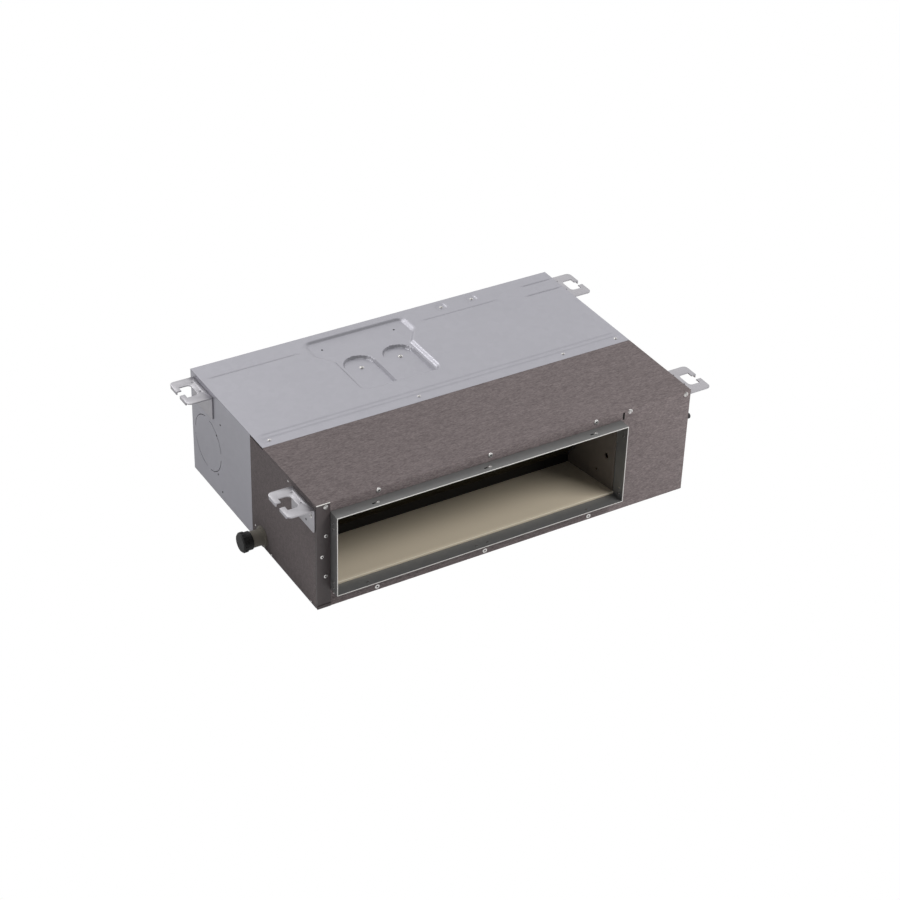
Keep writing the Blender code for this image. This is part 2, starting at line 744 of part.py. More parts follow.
def pipe_holes(name, low, high):
    """Cutters for the gas and liquid pipes and the pump's outlet on the right side."""
    return [
        cylinder(f"{name}_{pipe}", radius + PIPE_CLEARANCE, (low, y, z), (high, y, z), CUTTERS)
        for pipe, radius, y, z in PIPE_EXITS
    ]


PIPE_EXITS = (
    ("gas", GAS_PIPE_RADIUS, PIPE_Y, GAS_PIPE_Z),
    ("liquid", LIQUID_PIPE_RADIUS, PIPE_Y, LIQUID_PIPE_Z),
    ("outlet", OUTLET_RADIUS, PUMP_Y, OUTLET_Z),
)


def socket_hole(name, low, high):
    return cylinder(name, SOCKET_RADIUS + GAP, (low, SOCKET_Y, SOCKET_Z), (high, SOCKET_Y, SOCKET_Z), CUTTERS)


def casing():
    rear_top_panel()
    left_rear_panel()
    right_rear_panel()
    service_cover()

    left_front_panel()
    right_front_panel()

    lap = TOP_BORDER_Y + TOP_LAP
    outline = rectangle(-METAL_SIDE_X, METAL_FRONT_Y + SHEET + GAP, METAL_SIDE_X, lap)
    top = plate("front_top_panel", [outline], "XY", METAL_TOP_Z - SHEET, METAL_TOP_Z)
    finished(top, ZINC)
    rear_floor = plate("rear_bottom_panel", [rectangle(-HALF_LENGTH, TOP_BORDER_Y + GAP, HALF_LENGTH, BACK_Y)],
                       "XY", 0.0, SHEET)
    finished(rear_floor, ZINC)
    front_floor = plate("front_bottom_panel", [rectangle(-HALF_LENGTH, METAL_FRONT_Y, HALF_LENGTH, TOP_BORDER_Y)],
                        "XY", 0.0, SHEET)
    finished(front_floor, ZINC)


def collar_opening(grow):
    return rectangle(COLLAR_LEFT - grow, COLLAR_BOTTOM - grow, COLLAR_RIGHT + grow, COLLAR_TOP + grow)


def front_panel():
    """The sheet round the outlet, between the side sheets and behind the felt."""
    outline = rectangle(-METAL_SIDE_X + SHEET + GAP, FLOOR_Z, METAL_SIDE_X, METAL_TOP_Z)
    panel = plate("front_panel", [outline, collar_opening(GAP)], "XZ", METAL_FRONT_Y, METAL_FRONT_Y + SHEET)
    finished(panel, ZINC)


def outlet_collar():
    """The thin sheet frame that the supply duct slides over, with a flange riveted behind the front panel."""
    bore = collar_opening(-SHEET)
    back = METAL_FRONT_Y + SHEET + GAP + SHEET
    neck = collar_opening(-COLLAR_STEP)
    collar = plate("outlet_collar", [neck, bore], "XZ", FRONT_Y - COLLAR_REACH + GAP, back)
    spigot = plate("collar_spigot", [collar_opening(0.0), bore], "XZ", FRONT_Y - COLLAR_REACH, FRONT_Y - GAP)
    flange = plate("collar_flange", [collar_opening(COLLAR_FLANGE), collar_opening(-SHEET / 2)], "XZ",
                   back - SHEET, back)
    finished(join(collar, spigot, flange), ZINC)


def felts():
    """The felt glued over the coil section: one sheet each for the top, the front and the two sides."""
    top = plate("top_felt", [rectangle(-HALF_LENGTH, METAL_FRONT_Y + GAP, HALF_LENGTH, TOP_BORDER_Y - GAP)], "XY",
                CASE_HEIGHT - FELT, CASE_HEIGHT)
    finished(top, DARK_FELT)
    lip = rectangle(-HALF_LENGTH + STRIP_WIDTH + GAP, 0.0, HALF_LENGTH, CASE_HEIGHT)
    front = plate("front_felt", [lip], "XZ", FRONT_Y, METAL_FRONT_Y - GAP)
    inner = plate("felt_opening", [collar_opening(GAP)], "XZ", FRONT_Y - SHEET, METAL_FRONT_Y + SHEET, CUTTERS)
    finished(cut(front, inner), DARK_FELT)
    for side in ("left", "right"):
        low, high = spanning(side, METAL_SIDE_X + GAP, HALF_LENGTH)
        front_y = METAL_FRONT_Y if side == "right" else FRONT_Y + STRIP_JOGGLE
        outline = rectangle(front_y + GAP, FLOOR_Z, SIDE_BORDER_Y - GAP, CASE_HEIGHT - FELT - GAP)
        felt = plate(side + "_felt", [outline], "YZ", low, high)
        if side == "left":
            cut(felt, socket_hole("felt_socket_hole", low - SHEET, high + SHEET))
        else:
            cut(felt, *pipe_holes("felt_hole", low - SHEET, high + SHEET))
        finished(felt, DARK_FELT)


def return_frame():
    """The sheet frame that the return air passes, set in from the back edge so that a duct can be joined on."""
    outline = rectangle(-HALF_LENGTH + SHEET + GAP, FLOOR_Z + SHEET + GAP, HALF_LENGTH - SHEET - GAP,
                        CASE_HEIGHT - SHEET - RECESS_DEPTH - GAP)
    opening = rectangle(RETURN_LEFT, RETURN_BOTTOM, RETURN_RIGHT, RETURN_TOP)
    frame = plate("return_frame", [outline, opening], "XZ", RETURN_Y - SHEET, RETURN_Y)
    finished(frame, ZINC)


def filter_rails():
    """Two angle rails on the return frame, which the filter slides between from the back."""
    front = RETURN_Y + GAP
    back = RETURN_Y + FILTER_DEPTH + RAIL_LIP
    bottom = RETURN_BOTTOM - FILTER_LAP - GAP
    top = RETURN_TOP + FILTER_LAP + GAP
    lower = [(back, bottom), (front, bottom), (front, bottom - RAIL_FOOT)]
    upper = [(front, top + RAIL_FOOT), (front, top), (back, top)]
    for name, fold in (("lower", lower), ("upper", upper)):
        rail = plate(f"{name}_filter_rail", [thick_line(fold, SHEET)], "YZ", RETURN_LEFT - FILTER_LAP,
                     RETURN_RIGHT + FILTER_LAP)
        finished(rail, ZINC)


def air_filter():
    """The washable filter: a moulded frame with two bars and two pull tabs, and a woven mesh in its groove."""
    left = RETURN_LEFT - FILTER_LAP + GAP
    right = RETURN_RIGHT + FILTER_LAP - GAP
    bottom = RETURN_BOTTOM - FILTER_LAP
    top = RETURN_TOP + FILTER_LAP
    front = RETURN_Y + GAP
    back = front + FILTER_DEPTH
    pitch = (right - left - FILTER_BAR) / FILTER_CELLS
    holes = [
        rounded_rectangle(left + FILTER_BAR + pitch * i, bottom + FILTER_BAR, left + pitch * (i + 1),
                          top - FILTER_BAR, COVER_CORNER, 3)
        for i in range(FILTER_CELLS)
    ]
    frame = plate("filter_frame", [rectangle(left, bottom, right, top)] + holes, "XZ",
                  front + FILTER_MESH + GAP, back)
    for i in (0, FILTER_CELLS - 1):
        middle = left + FILTER_BAR / 2 + pitch * (i + 0.5)
        join(frame, box(f"filter_tab_{i}", (middle - FILTER_TAB, back - 0.002, bottom + 0.002),
                        (middle + FILTER_TAB, back + 0.005, bottom + 0.005)))
    finished(frame, BLACK_PLASTIC)
    mesh = plate("filter_mesh", [rectangle(left, bottom, right, top)], "XZ", front, front + FILTER_MESH)
    finished(mesh, BLACK_PLASTIC)


# Hanging brackets

def hanger(name, side, middle_y):
    """One bent steel bracket: a tab with a keyhole slot open to its edge, a turned lip and a plate on the side."""
    sign = side_sign(side)
    side_x = HALF_LENGTH + GAP
    half = HANGER_LENGTH / 2
    reach = HALF_LENGTH + HANGER_REACH
    near = HALF_LENGTH + SLOT_INNER
    far = HALF_LENGTH + SLOT_OUTER
    slot_half = SLOT_LENGTH / 2
    mouth = SLOT_MOUTH / 2
    corner = HANGER_CORNER
    upper = arc((reach - corner, middle_y + half - corner), corner, math.pi / 2, 0.0, 4)
    lower = arc((reach - corner, middle_y - half + corner), corner, 0.0, -math.pi / 2, 4)
    inner_top = arc((near + mouth, middle_y + slot_half - mouth), mouth, math.pi / 2, math.pi, 4)
    inner_low = arc((near + mouth, middle_y - slot_half + mouth), mouth, math.pi, 3 * math.pi / 2, 4)
    outline = (
        [(side_x, middle_y + half)]
        + upper
        + [(reach, middle_y + mouth), (far, middle_y + mouth), (far, middle_y + slot_half)]
        + inner_top
        + inner_low
        + [(far, middle_y - slot_half), (far, middle_y - mouth), (reach, middle_y - mouth)]
        + lower
        + [(side_x, middle_y - half)]
    )
    tab = plate(name, [[(sign * x, y) for x, y in outline]], "XY", HANGER_TOP - HANGER_SHEET, HANGER_TOP)
    low, high = spanning(side, side_x, side_x + HANGER_SHEET)
    wall = plate(name + "_wall", [rounded_rectangle(middle_y - half, HANGER_TOP - HANGER_DROP, middle_y + half,
                                                    HANGER_TOP, 0.003, 2)], "YZ", low, high)
    join(tab, wall)
    low, high = spanning(side, reach - HANGER_SHEET, reach)
    lips = (
        ("front", middle_y - half + corner, middle_y - mouth),
        ("back", middle_y + mouth, middle_y + half - corner),
    )
    for end, a, b in lips:
        join(tab, box(f"{name}_{end}_lip", (low, a, HANGER_TOP - HANGER_SHEET - HANGER_LIP), (high, b, HANGER_TOP)))
    finished(tab, BRACKET_STEEL)


def hangers():
    for side in ("left", "right"):
        hanger(f"front_{side}_hanger", side, FRONT_Y + FRONT_HANGER_INSET)
        hanger(f"rear_{side}_hanger", side, BACK_Y - REAR_HANGER_INSET)


casing()
front_panel()
outlet_collar()
felts()
return_frame()
filter_rails()
air_filter()
hangers()


# Fan section

def fan_deck():
    """The sheet wall that the fans blow through into the coil section."""
    bottom = FLOOR_Z
    top = METAL_TOP_Z - SHEET - GAP
    half = SCROLL_WIDTH / 2 - SCROLL_WALL
    holes = [
        rectangle(x - half, SCROLL_FLOOR + SCROLL_WALL, x + half, SCROLL_MOUTH_TOP - SCROLL_WALL)
        for x in FAN_CENTRES
    ]
    edge = METAL_SIDE_X - 2 * SHEET - 2 * GAP
    deck = plate("fan_deck", [rectangle(-edge, bottom, edge, top)] + holes, "XZ", DECK_Y, DECK_Y + SHEET)
    finished(deck, ZINC)


def scroll_outline(inset):
    """The spiral of the fan housing in Y and Z, from the tongue over the wheel, round and out at the deck."""
    points = []
    for i in range(SCROLL_STEPS + 1):
        share = i / SCROLL_STEPS
        angle = SCROLL_START + (SCROLL_END - SCROLL_START) * share
        radius = SCROLL_START_RADIUS + (SCROLL_END_RADIUS - SCROLL_START_RADIUS) * share - inset
        points.append((FAN_AXIS_Y + radius * math.cos(angle), FAN_AXIS_Z + radius * math.sin(angle)))
    mouth = DECK_Y + SHEET + GAP - inset
    points.append((mouth, SCROLL_FLOOR + inset))
    points.append((mouth, SCROLL_MOUTH_TOP - inset))
    return list(reversed(points))


def fan_housings():
    """Each spiral housing is moulded in an upper and a lower half that meet at the shaft."""
    for side, x in zip(("left", "right"), FAN_CENTRES):
        low = x - SCROLL_WIDTH / 2
        high = x + SCROLL_WIDTH / 2
        for half in ("upper", "lower"):
            name = f"{half}_{side}_fan_housing"
            housing = plate(name, [scroll_outline(0.0)], "YZ", low, high)
            bore = plate(name + "_bore", [scroll_outline(SCROLL_WALL)], "YZ", low + SCROLL_WALL,
                         high - SCROLL_WALL, CUTTERS)
            inlet = cylinder(name + "_inlet", INLET_RADIUS, (low - SHEET, FAN_AXIS_Y, FAN_AXIS_Z),
                             (high + SHEET, FAN_AXIS_Y, FAN_AXIS_Z), CUTTERS, 36)
            if half == "upper":
                span = (-CASE_HEIGHT, FAN_AXIS_Z + GAP / 2)
            else:
                span = (FAN_AXIS_Z - GAP / 2, 2 * CASE_HEIGHT)
            other = box(name + "_other", (low - SHEET, -CASE_DEPTH, span[0]), (high + SHEET, CASE_DEPTH, span[1]),
                        CUTTERS)
            cut(housing, bore, inlet, other)
            finished(housing, BLACK_PLASTIC)


def fan_wheel(name, x):
    """A double-inlet wheel: curved blades between two end rings, driven by a disc and hub in the middle."""
    half = FAN_WIDTH / 2
    axis = (FAN_AXIS_Y, FAN_AXIS_Z)
    bore = circle(axis, SHAFT_RADIUS + GAP, 16)
    wheel = plate(name, [circle(axis, FAN_RADIUS - 0.003, WHEEL_SIDES), bore], "YZ", x - WHEEL_DISC / 2,
                  x + WHEEL_DISC / 2)
    hub = plate(name + "_hub", [circle(axis, HUB_RADIUS, 20), bore], "YZ", x - HUB_LENGTH / 2, x + HUB_LENGTH / 2)
    join(wheel, hub)
    rim = [circle(axis, FAN_RADIUS, WHEEL_SIDES), circle(axis, FAN_RADIUS - 0.005, WHEEL_SIDES)]
    for end, low in (("left", x - half), ("right", x + half - WHEEL_RING)):
        join(wheel, plate(f"{name}_{end}_ring", rim, "YZ", low, low + WHEEL_RING))
    blades = plate(name + "_blades", [blade(i) for i in range(BLADE_COUNT)], "YZ", x - half + 0.0015,
                   x + half - 0.0015)
    join(wheel, blades)
    return finished(wheel, BLACK_PLASTIC)


def blade(index):
    """One forward-curved blade's section in Y and Z."""
    turn = 2 * math.pi * index / BLADE_COUNT
    steps = 2
    outside = []
    inside = []
    for i in range(steps + 1):
        share = i / steps
        radius = FAN_RADIUS - BLADE_CHORD + (BLADE_CHORD - 0.0008) * share
        sweep = 0.085 * (1 - (1 - share) ** 2) - 0.13 * share
        thick = BLADE_SHEET / 2 / radius
        outside.append((radius, turn + sweep + thick))
        inside.append((radius, turn + sweep - thick))
    return [
        (FAN_AXIS_Y + radius * math.cos(angle), FAN_AXIS_Z + radius * math.sin(angle))
        for radius, angle in outside + list(reversed(inside))
    ]


def motor():
    """The fan motor: a pressed can with two end bosses, and a shaft that stands out at both ends."""
    half = MOTOR_LENGTH / 2
    boss = MOTOR_BOSS
    bore = SHAFT_RADIUS + GAP
    profile = [
        (bore, half + boss),
        (0.013, half + boss),
        (0.014, half + boss - 0.001),
        (0.014, half),
        (MOTOR_RADIUS - 0.008, half),
        (MOTOR_RADIUS, half - 0.008),
        (MOTOR_RADIUS, -half + 0.008),
        (MOTOR_RADIUS - 0.008, -half),
        (0.014, -half),
        (0.014, -half - boss + 0.001),
        (0.013, -half - boss),
        (bore, -half - boss),
    ]
    can = turned("fan_motor", profile, (MOTOR_X, FAN_AXIS_Y, FAN_AXIS_Z), (1, 0, 0), steps=24)
    finished(can, BLACK_PLASTIC)
    ends = [(x, FAN_AXIS_Y, FAN_AXIS_Z) for x in (FAN_CENTRES[0] - HUB_LENGTH, FAN_CENTRES[1] + HUB_LENGTH)]
    finished(cylinder("motor_shaft", SHAFT_RADIUS, *ends, sides=16), STEEL)
    for side, x in zip(("left", "right"), (PAD_LEFT_X, PAD_RIGHT_X)):
        motor_bracket(side, x)


def motor_bracket(side, x):
    """A strap round the motor that hangs from a foot screwed under the pad in the top panel."""
    width = BRACKET_WIDTH
    foot_top = CASE_HEIGHT - PAD_DEPTH - SHEET - GAP
    foot_half = BRACKET_FOOT
    outer = MOTOR_RADIUS + GAP + BRACKET_STRAP
    side_angle = math.asin(foot_half / outer)
    round_part = arc((FAN_AXIS_Y, FAN_AXIS_Z), outer, math.pi / 2 + side_angle, 2.5 * math.pi - side_angle, 28)
    outline = round_part + [(FAN_AXIS_Y + foot_half, foot_top), (FAN_AXIS_Y - foot_half, foot_top)]
    bore = circle((FAN_AXIS_Y, FAN_AXIS_Z), MOTOR_RADIUS + GAP, 32)
    strap = plate(f"{side}_motor_bracket", [outline, bore], "YZ", x - width / 2, x + width / 2)
    foot = box(f"{side}_motor_foot", (x - 0.012, FAN_AXIS_Y - foot_half, foot_top - 0.002),
               (x + 0.012, FAN_AXIS_Y + foot_half, foot_top))
    finished(join(strap, foot), ZINC)


# Coil and drain pan

def coil_lean():
    """The lean at which the coil's face runs forwards by its run and its highest corner is under the top."""
    lean = math.radians(30)
    for _ in range(40):
        lean = math.atan2(COIL_RUN, COIL_RISE - COIL_THICKNESS * math.sin(lean))
    return lean


COIL_LEAN = coil_lean()
COIL_FACE = COIL_RUN / math.sin(COIL_LEAN)
FACE = Vector((-math.sin(COIL_LEAN), math.cos(COIL_LEAN)))
DEPTH = Vector((math.cos(COIL_LEAN), math.sin(COIL_LEAN)))
COIL_FOOT = Vector((COIL_FOOT_Y, COIL_FOOT_Z))
TUBE_COUNT = 2 * round(COIL_FACE / TUBE_PITCH / 2)
TUBE_BEND = TUBE_PITCH * 0.48


def slab(along_low, deep_low, along_high, deep_high):
    """Four corners in Y and Z of a stretch of the inclined coil, measured up its face and into its depth."""
    spots = ((along_low, deep_low), (along_low, deep_high), (along_high, deep_high), (along_high, deep_low))
    return [tuple(COIL_FOOT + FACE * along + DEPTH * deep) for along, deep in spots]


def tube_spot(row):
    """Where a tube of the coil runs, in Y and Z, counted from the foot."""
    along = COIL_FACE / 2 + (row - (TUBE_COUNT - 1) / 2) * TUBE_PITCH
    return COIL_FOOT + FACE * along + DEPTH * (COIL_THICKNESS / 2)


def tube_bores(name, low, high):
    return [
        cylinder(f"{name}_{row}", TUBE_RADIUS + GAP, (low, *tube_spot(row)), (high, *tube_spot(row)), CUTTERS, 12)
        for row in range(TUBE_COUNT)
    ]


def fin_comb(low_x, high_x):
    """The fin pack's section across its length: fins on both faces of a core, coarser than the real ones."""
    pitch = (high_x - low_x) / FIN_COUNT
    fin = pitch * FIN_SHARE
    front = []
    back = []
    for i in range(FIN_COUNT):
        left = low_x + pitch * i
        right = left + fin if i < FIN_COUNT - 1 else high_x
        front += [(left, 0.0), (right, 0.0)]
        back += [(left, COIL_THICKNESS), (right, COIL_THICKNESS)]
        if i < FIN_COUNT - 1:
            front += [(right, FIN_DEPTH), (left + pitch, FIN_DEPTH)]
            back += [(right, COIL_THICKNESS - FIN_DEPTH), (left + pitch, COIL_THICKNESS - FIN_DEPTH)]
    return front + list(reversed(back))


def prism(name, outline, height):
    """A solid that stands on an outline with many corners in a row, with one face for each end."""
    mesh = bpy.data.meshes.new(name)
    shape = bmesh.new()
    base = shape.faces.new([shape.verts.new((*point, 0.0)) for point in outline])
    top = bmesh.ops.extrude_face_region(shape, geom=[base])
    corners = [item for item in top["geom"] if isinstance(item, bmesh.types.BMVert)]
    bmesh.ops.translate(shape, verts=corners, vec=(0.0, 0.0, height))
    bmesh.ops.recalc_face_normals(shape, faces=shape.faces)
    shape.to_mesh(mesh)
    shape.free()
    return place(bpy.data.objects.new(name + "_made", mesh), name, PARTS)


def coil():
    """Aluminium fins between two galvanised end plates, on a copper tube that runs to and fro through them."""
    left = COIL_LEFT
    right = PARTITION_X
    fins = prism("coil_fins", fin_comb(left + COIL_PLATE + GAP, right - GAP), COIL_FACE)
    lean = Matrix.Rotation(COIL_LEAN, 4, "X")
    fins.matrix_world = Matrix.Translation((0.0, COIL_FOOT_Y, COIL_FOOT_Z)) @ lean
    finished(cut(fins, *tube_bores("fin_bore", left - SHEET, right + SHEET)), ALUMINIUM)
    for side, low in (("left", left), ("right", right)):
        outline = slab(-0.0015, 0.0, COIL_FACE, COIL_THICKNESS)
        end = plate(f"coil_{side}_plate", [outline], "YZ", low, low + COIL_PLATE)
        cut(end, *tube_bores(f"{side}_plate_bore", low - SHEET, low + COIL_PLATE + SHEET))
        finished(end, ZINC)
    near = COIL_LEFT - TUBE_STANDOFF - TUBE_BEND
    far = PARTITION_X + COIL_PLATE + TUBE_STANDOFF + TUBE_BEND
    route = [(far, *tube_spot(0))]
    for row in range(TUBE_COUNT):
        ends = (far, near) if row % 2 == 0 else (near, far)
        route += [(x, *tube_spot(row)) for x in ends]
    route.append((far, *tube_spot(TUBE_COUNT - 1)))
    finished(tube("coil_tube", bent(route[1:-1], TUBE_BEND, 3), TUBE_RADIUS, resolution=1), COPPER)


def drain_pan():
    """The moulded pan under the coil: a floor that falls back from the front lip to a channel and the pump's sump."""
    low_x = -METAL_SIDE_X + SHEET + 2 * GAP
    high_x = METAL_SIDE_X - SHEET - 2 * GAP
    front = PAN_FRONT_Y
    pan = box("drain_pan", (low_x, front, FLOOR_Z), (high_x, PAN_BACK_Y, PAN_LIP_Z))
    above = PAN_LIP_Z + PAN_FLOOR_Z
    hollow = [
        (front - SHEET, PAN_LIP_Z - LIP_DROP),
        (COIL_FOOT_Y, PAN_FLOOR_Z),
        (COIL_FOOT_Y + PAN_CHANNEL_SLOPE, PAN_CHANNEL_Z),
        (PAN_BACK_Y - PAN_WALL, PAN_CHANNEL_Z),
        (PAN_BACK_Y - PAN_WALL, above),
        (front - SHEET, above),
    ]
    cut(pan, plate("pan_hollow", [hollow], "YZ", low_x + PAN_WALL, high_x - PAN_WALL, CUTTERS))
    lip = box("pan_lip", (COLLAR_LEFT + 2 * SHEET, front - LIP_REACH, PAN_LIP_Z - LIP_THICKNESS),
              (COLLAR_RIGHT - 2 * SHEET, front + 2 * SHEET, PAN_LIP_Z - LIP_DROP))
    finished(join(pan, lip), BEIGE_PLASTIC)


def partition():
    """The wall between the air path and the pipe space, standing over the pan, with a window for the coil."""
    front = PAN_FRONT_Y
    back = DECK_Y - GAP
    top = METAL_TOP_Z - SHEET - GAP
    outline = [
        (front, PAN_LIP_Z + GAP),
        (COIL_FOOT_Y, PAN_FLOOR_Z + GAP),
        (COIL_FOOT_Y + PAN_CHANNEL_SLOPE, PAN_CHANNEL_Z + GAP),
        (PAN_BACK_Y - PAN_WALL - GAP, PAN_CHANNEL_Z + GAP),
        (PAN_BACK_Y - PAN_WALL - GAP, PAN_LIP_Z + GAP),
        (back, PAN_LIP_Z + GAP),
        (back, top),
        (front, top),
    ]
    window = slab(-0.0015 - GAP, -GAP, COIL_FACE + GAP, COIL_THICKNESS + GAP)
    holes = [circle((FRONT_Y + inset, z), radius, 12) for inset, z, radius in (WIRE_HOLE, CLIP_HOLE)]
    wall = plate("inner_partition", [outline, window] + holes, "YZ", PARTITION_X, PARTITION_X + SHEET)
    finished(wall, ZINC)


fan_deck()
fan_housings()
for side, x in zip(("left", "right"), FAN_CENTRES):
    fan_wheel(f"{side}_fan_wheel", x)
motor()
coil()
drain_pan()
partition()


# Drain socket and cap

def drain_socket():
    """The plastic drain socket on the left side: a round flange against the felt and a spigot through it."""
    x = -HALF_LENGTH - GAP
    origin = (0.0, SOCKET_Y, SOCKET_Z)
    inner = METAL_SIDE_X - SHEET - GAP
    profile = [
        (SOCKET_BORE, -x + SOCKET_REACH),
        (SOCKET_RADIUS - 0.001, -x + SOCKET_REACH),
        (SOCKET_RADIUS, -x + SOCKET_REACH - 0.001),
        (SOCKET_RADIUS, -x + SOCKET_FLANGE_THICKNESS),
        (SOCKET_RADIUS + SOCKET_FLANGE, -x + SOCKET_FLANGE_THICKNESS),
        (SOCKET_RADIUS + SOCKET_FLANGE, -x),
        (SOCKET_RADIUS, -x),
        (SOCKET_RADIUS, inner),
        (SOCKET_BORE, inner),
    ]
    finished(turned("drain_socket", profile, origin, (-1, 0, 0), steps=24), GREY_PLASTIC)
    seat = SOCKET_RADIUS + GAP
    rim = -x + CAP_REACH
    mouth = rim - CAP_SKIRT
    profile = [
        (0.0, rim),
        (CAP_RADIUS - 0.002, rim),
        (CAP_RADIUS, rim - 0.002),
        (CAP_RADIUS, rim - CAP_GRIP),
        (CAP_RADIUS - CAP_NECK, rim - CAP_GRIP - CAP_NECK),
        (CAP_RADIUS - CAP_NECK, mouth + 0.001),
        (seat, mouth),
        (seat, -x + SOCKET_REACH + GAP),
        (0.0, -x + SOCKET_REACH + GAP),
    ]
    finished(turned("drain_cap", profile, origin, (-1, 0, 0), steps=24), BLACK_RUBBER)


def coil_seal():
    """The black foam strip that the coil's foot stands on in the pan."""
    outline = [
        (COIL_FOOT_Y + PAN_CHANNEL_SLOPE + SEAL_LIFT, PAN_CHANNEL_Z + GAP),
        (COIL_FOOT_Y + SEAL_SETBACK, PAN_CHANNEL_Z + GAP),
        tuple(COIL_FOOT + DEPTH * (COIL_THICKNESS - 0.004) - FACE * (GAP + 0.0015)),
        tuple(COIL_FOOT + DEPTH * 0.001 - FACE * (GAP + 0.0015)),
        (COIL_FOOT_Y + 0.001, PAN_FLOOR_Z + SEAL_LIFT),
    ]
    strip = plate("coil_seal", [outline], "YZ", COIL_LEFT, PARTITION_X - GAP)
    finished(strip, BLACK_RUBBER)


# Pipe space: headers, pipes, pump and float

def pipes():
    """The gas and liquid stubs, from the ends of the coil's tube out through the right side, with their flare nuts."""
    start_x = PARTITION_X + COIL_PLATE + TUBE_STANDOFF + TUBE_BEND + GAP
    end_x = HALF_LENGTH + PIPE_REACH
    nut_low = end_x - NUT_INSET
    for name, radius, z, row in (
        ("gas", GAS_PIPE_RADIUS, GAS_PIPE_Z, TUBE_COUNT - 1),
        ("liquid", LIQUID_PIPE_RADIUS, LIQUID_PIPE_Z, 0),
    ):
        start = tube_spot(row)
        turn_x = start_x + 3 * radius
        corners = [(start_x, *start), (turn_x, *start), (turn_x, PIPE_Y, z), (end_x, PIPE_Y, z)]
        finished(tube(f"{name}_pipe", bent(corners, 2 * radius, 4), radius, resolution=2), COPPER)
        nut = plate(f"{name}_flare_nut", [circle((PIPE_Y, z), radius * 2, 6), circle((PIPE_Y, z), radius + GAP, 16)],
                    "YZ", nut_low, nut_low + NUT_LENGTH)
        finished(nut, BRASS)


def drain_pump():
    """The lift pump over the sump: a motor can on a moulded chamber, with an impeller inside."""
    origin = (PUMP_X, PUMP_Y, 0.0)
    wall = PUMP_WALL
    top = PUMP_CHAMBER_TOP
    bottom = PUMP_CHAMBER_BOTTOM
    profile = [
        (0.0, PUMP_TOP),
        (PUMP_MOTOR_RADIUS - 0.002, PUMP_TOP),
        (PUMP_MOTOR_RADIUS, PUMP_TOP - 0.002),
        (PUMP_MOTOR_RADIUS, top + 0.004),
        (PUMP_RADIUS, top + 0.004),
        (PUMP_RADIUS, bottom + 0.004),
        (PUMP_INLET + wall, bottom),
        (PUMP_INLET + wall, PUMP_INLET_Z),
        (PUMP_INLET, PUMP_INLET_Z),
        (PUMP_INLET, bottom + wall),
        (PUMP_RADIUS - wall, bottom + wall + 0.004),
        (PUMP_RADIUS - wall, top),
        (0.0, top),
    ]
    finished(turned("drain_pump", profile, origin, (0, 0, 1), steps=24), WHITE_PLASTIC)


def pump_impeller():
    """A disc with crossed vanes that turns in the pump's chamber."""
    top = PUMP_CHAMBER_TOP
    impeller = plate("pump_impeller", [circle((PUMP_X, PUMP_Y), 0.016, 20)], "XY", top - 0.0045, top - GAP)
    vane_low = PUMP_CHAMBER_BOTTOM + 0.0085
    vane_high = top - 0.003
    for i in range(2):
        vane = box(f"pump_vane_{i}", (-0.015, -0.001, vane_low), (0.015, 0.001, vane_high))
        vane.rotation_euler = (0.0, 0.0, math.pi / 2 * i)
        vane.location = (PUMP_X, PUMP_Y, (vane_low + vane_high) / 2)
        join(impeller, vane)
    finished(impeller, WHITE_PLASTIC)


def pump_bracket():
    """The sheet arm on the partition that the pump and the float switch hang from."""
    wall_x = PARTITION_X + SHEET + GAP
    arm = PUMP_ARM
    reach = SWITCH_HEAD_RADIUS + 0.003
    outline = [
        (wall_x, PUMP_Y - arm),
        (PUMP_X + PUMP_MOTOR_RADIUS, PUMP_Y - arm),
        (FLOAT_X + reach, FLOAT_Y - arm),
        (FLOAT_X + reach, FLOAT_Y + reach),
        (FLOAT_X - reach, FLOAT_Y + reach),
        (PUMP_X, PUMP_Y + arm),
        (wall_x, PUMP_Y + arm),
    ]
    bracket = plate("pump_bracket", [outline], "XY", PUMP_TOP + GAP, PUMP_TOP + GAP + SHEET)
    finished(bracket, ZINC)


def float_switch():
    """The float switch beside the pump: a stem under a small head, and a float that rides on the stem."""
    origin = (FLOAT_X, FLOAT_Y, 0.0)
    foot = STEM_FOOT_Z + 0.0015
    head = turned("float_switch", [
        (0.0, PUMP_TOP),
        (SWITCH_HEAD_RADIUS, PUMP_TOP),
        (SWITCH_HEAD_RADIUS, SWITCH_HEAD_Z),
        (FLOAT_STEM, SWITCH_HEAD_Z),
        (FLOAT_STEM, foot),
        (FLOAT_STEM + 0.002, foot),
        (FLOAT_STEM + 0.002, STEM_FOOT_Z),
        (0.0, STEM_FOOT_Z),
    ], origin, (0, 0, 1), steps=16)
    finished(head, WHITE_PLASTIC)
    body = turned("float", [
        (FLOAT_STEM + GAP, FLOAT_TOP),
        (FLOAT_RADIUS - 0.001, FLOAT_TOP),
        (FLOAT_RADIUS, FLOAT_TOP - 0.001),
        (FLOAT_RADIUS, FLOAT_BOTTOM + 0.001),
        (FLOAT_RADIUS - 0.001, FLOAT_BOTTOM),
        (FLOAT_STEM + GAP, FLOAT_BOTTOM),
    ], origin, (0, 0, 1), steps=16)
    finished(body, WHITE_PLASTIC)


def pump_outlet():
    """The moulded outlet that carries the pump's water out through the right side."""
    start = PUMP_X + PUMP_MOTOR_RADIUS + GAP
    end = HALF_LENGTH + OUTLET_REACH
    spot = (PUMP_Y, OUTLET_Z)
    outlet = cylinder("pump_outlet", OUTLET_RADIUS - GAP, (start, *spot), (end, *spot), sides=24)
    bore = cylinder("pump_outlet_bore", OUTLET_BORE, (start + 0.004, *spot), (end + SHEET, *spot), CUTTERS)
    finished(cut(outlet, bore), GREY_PLASTIC)


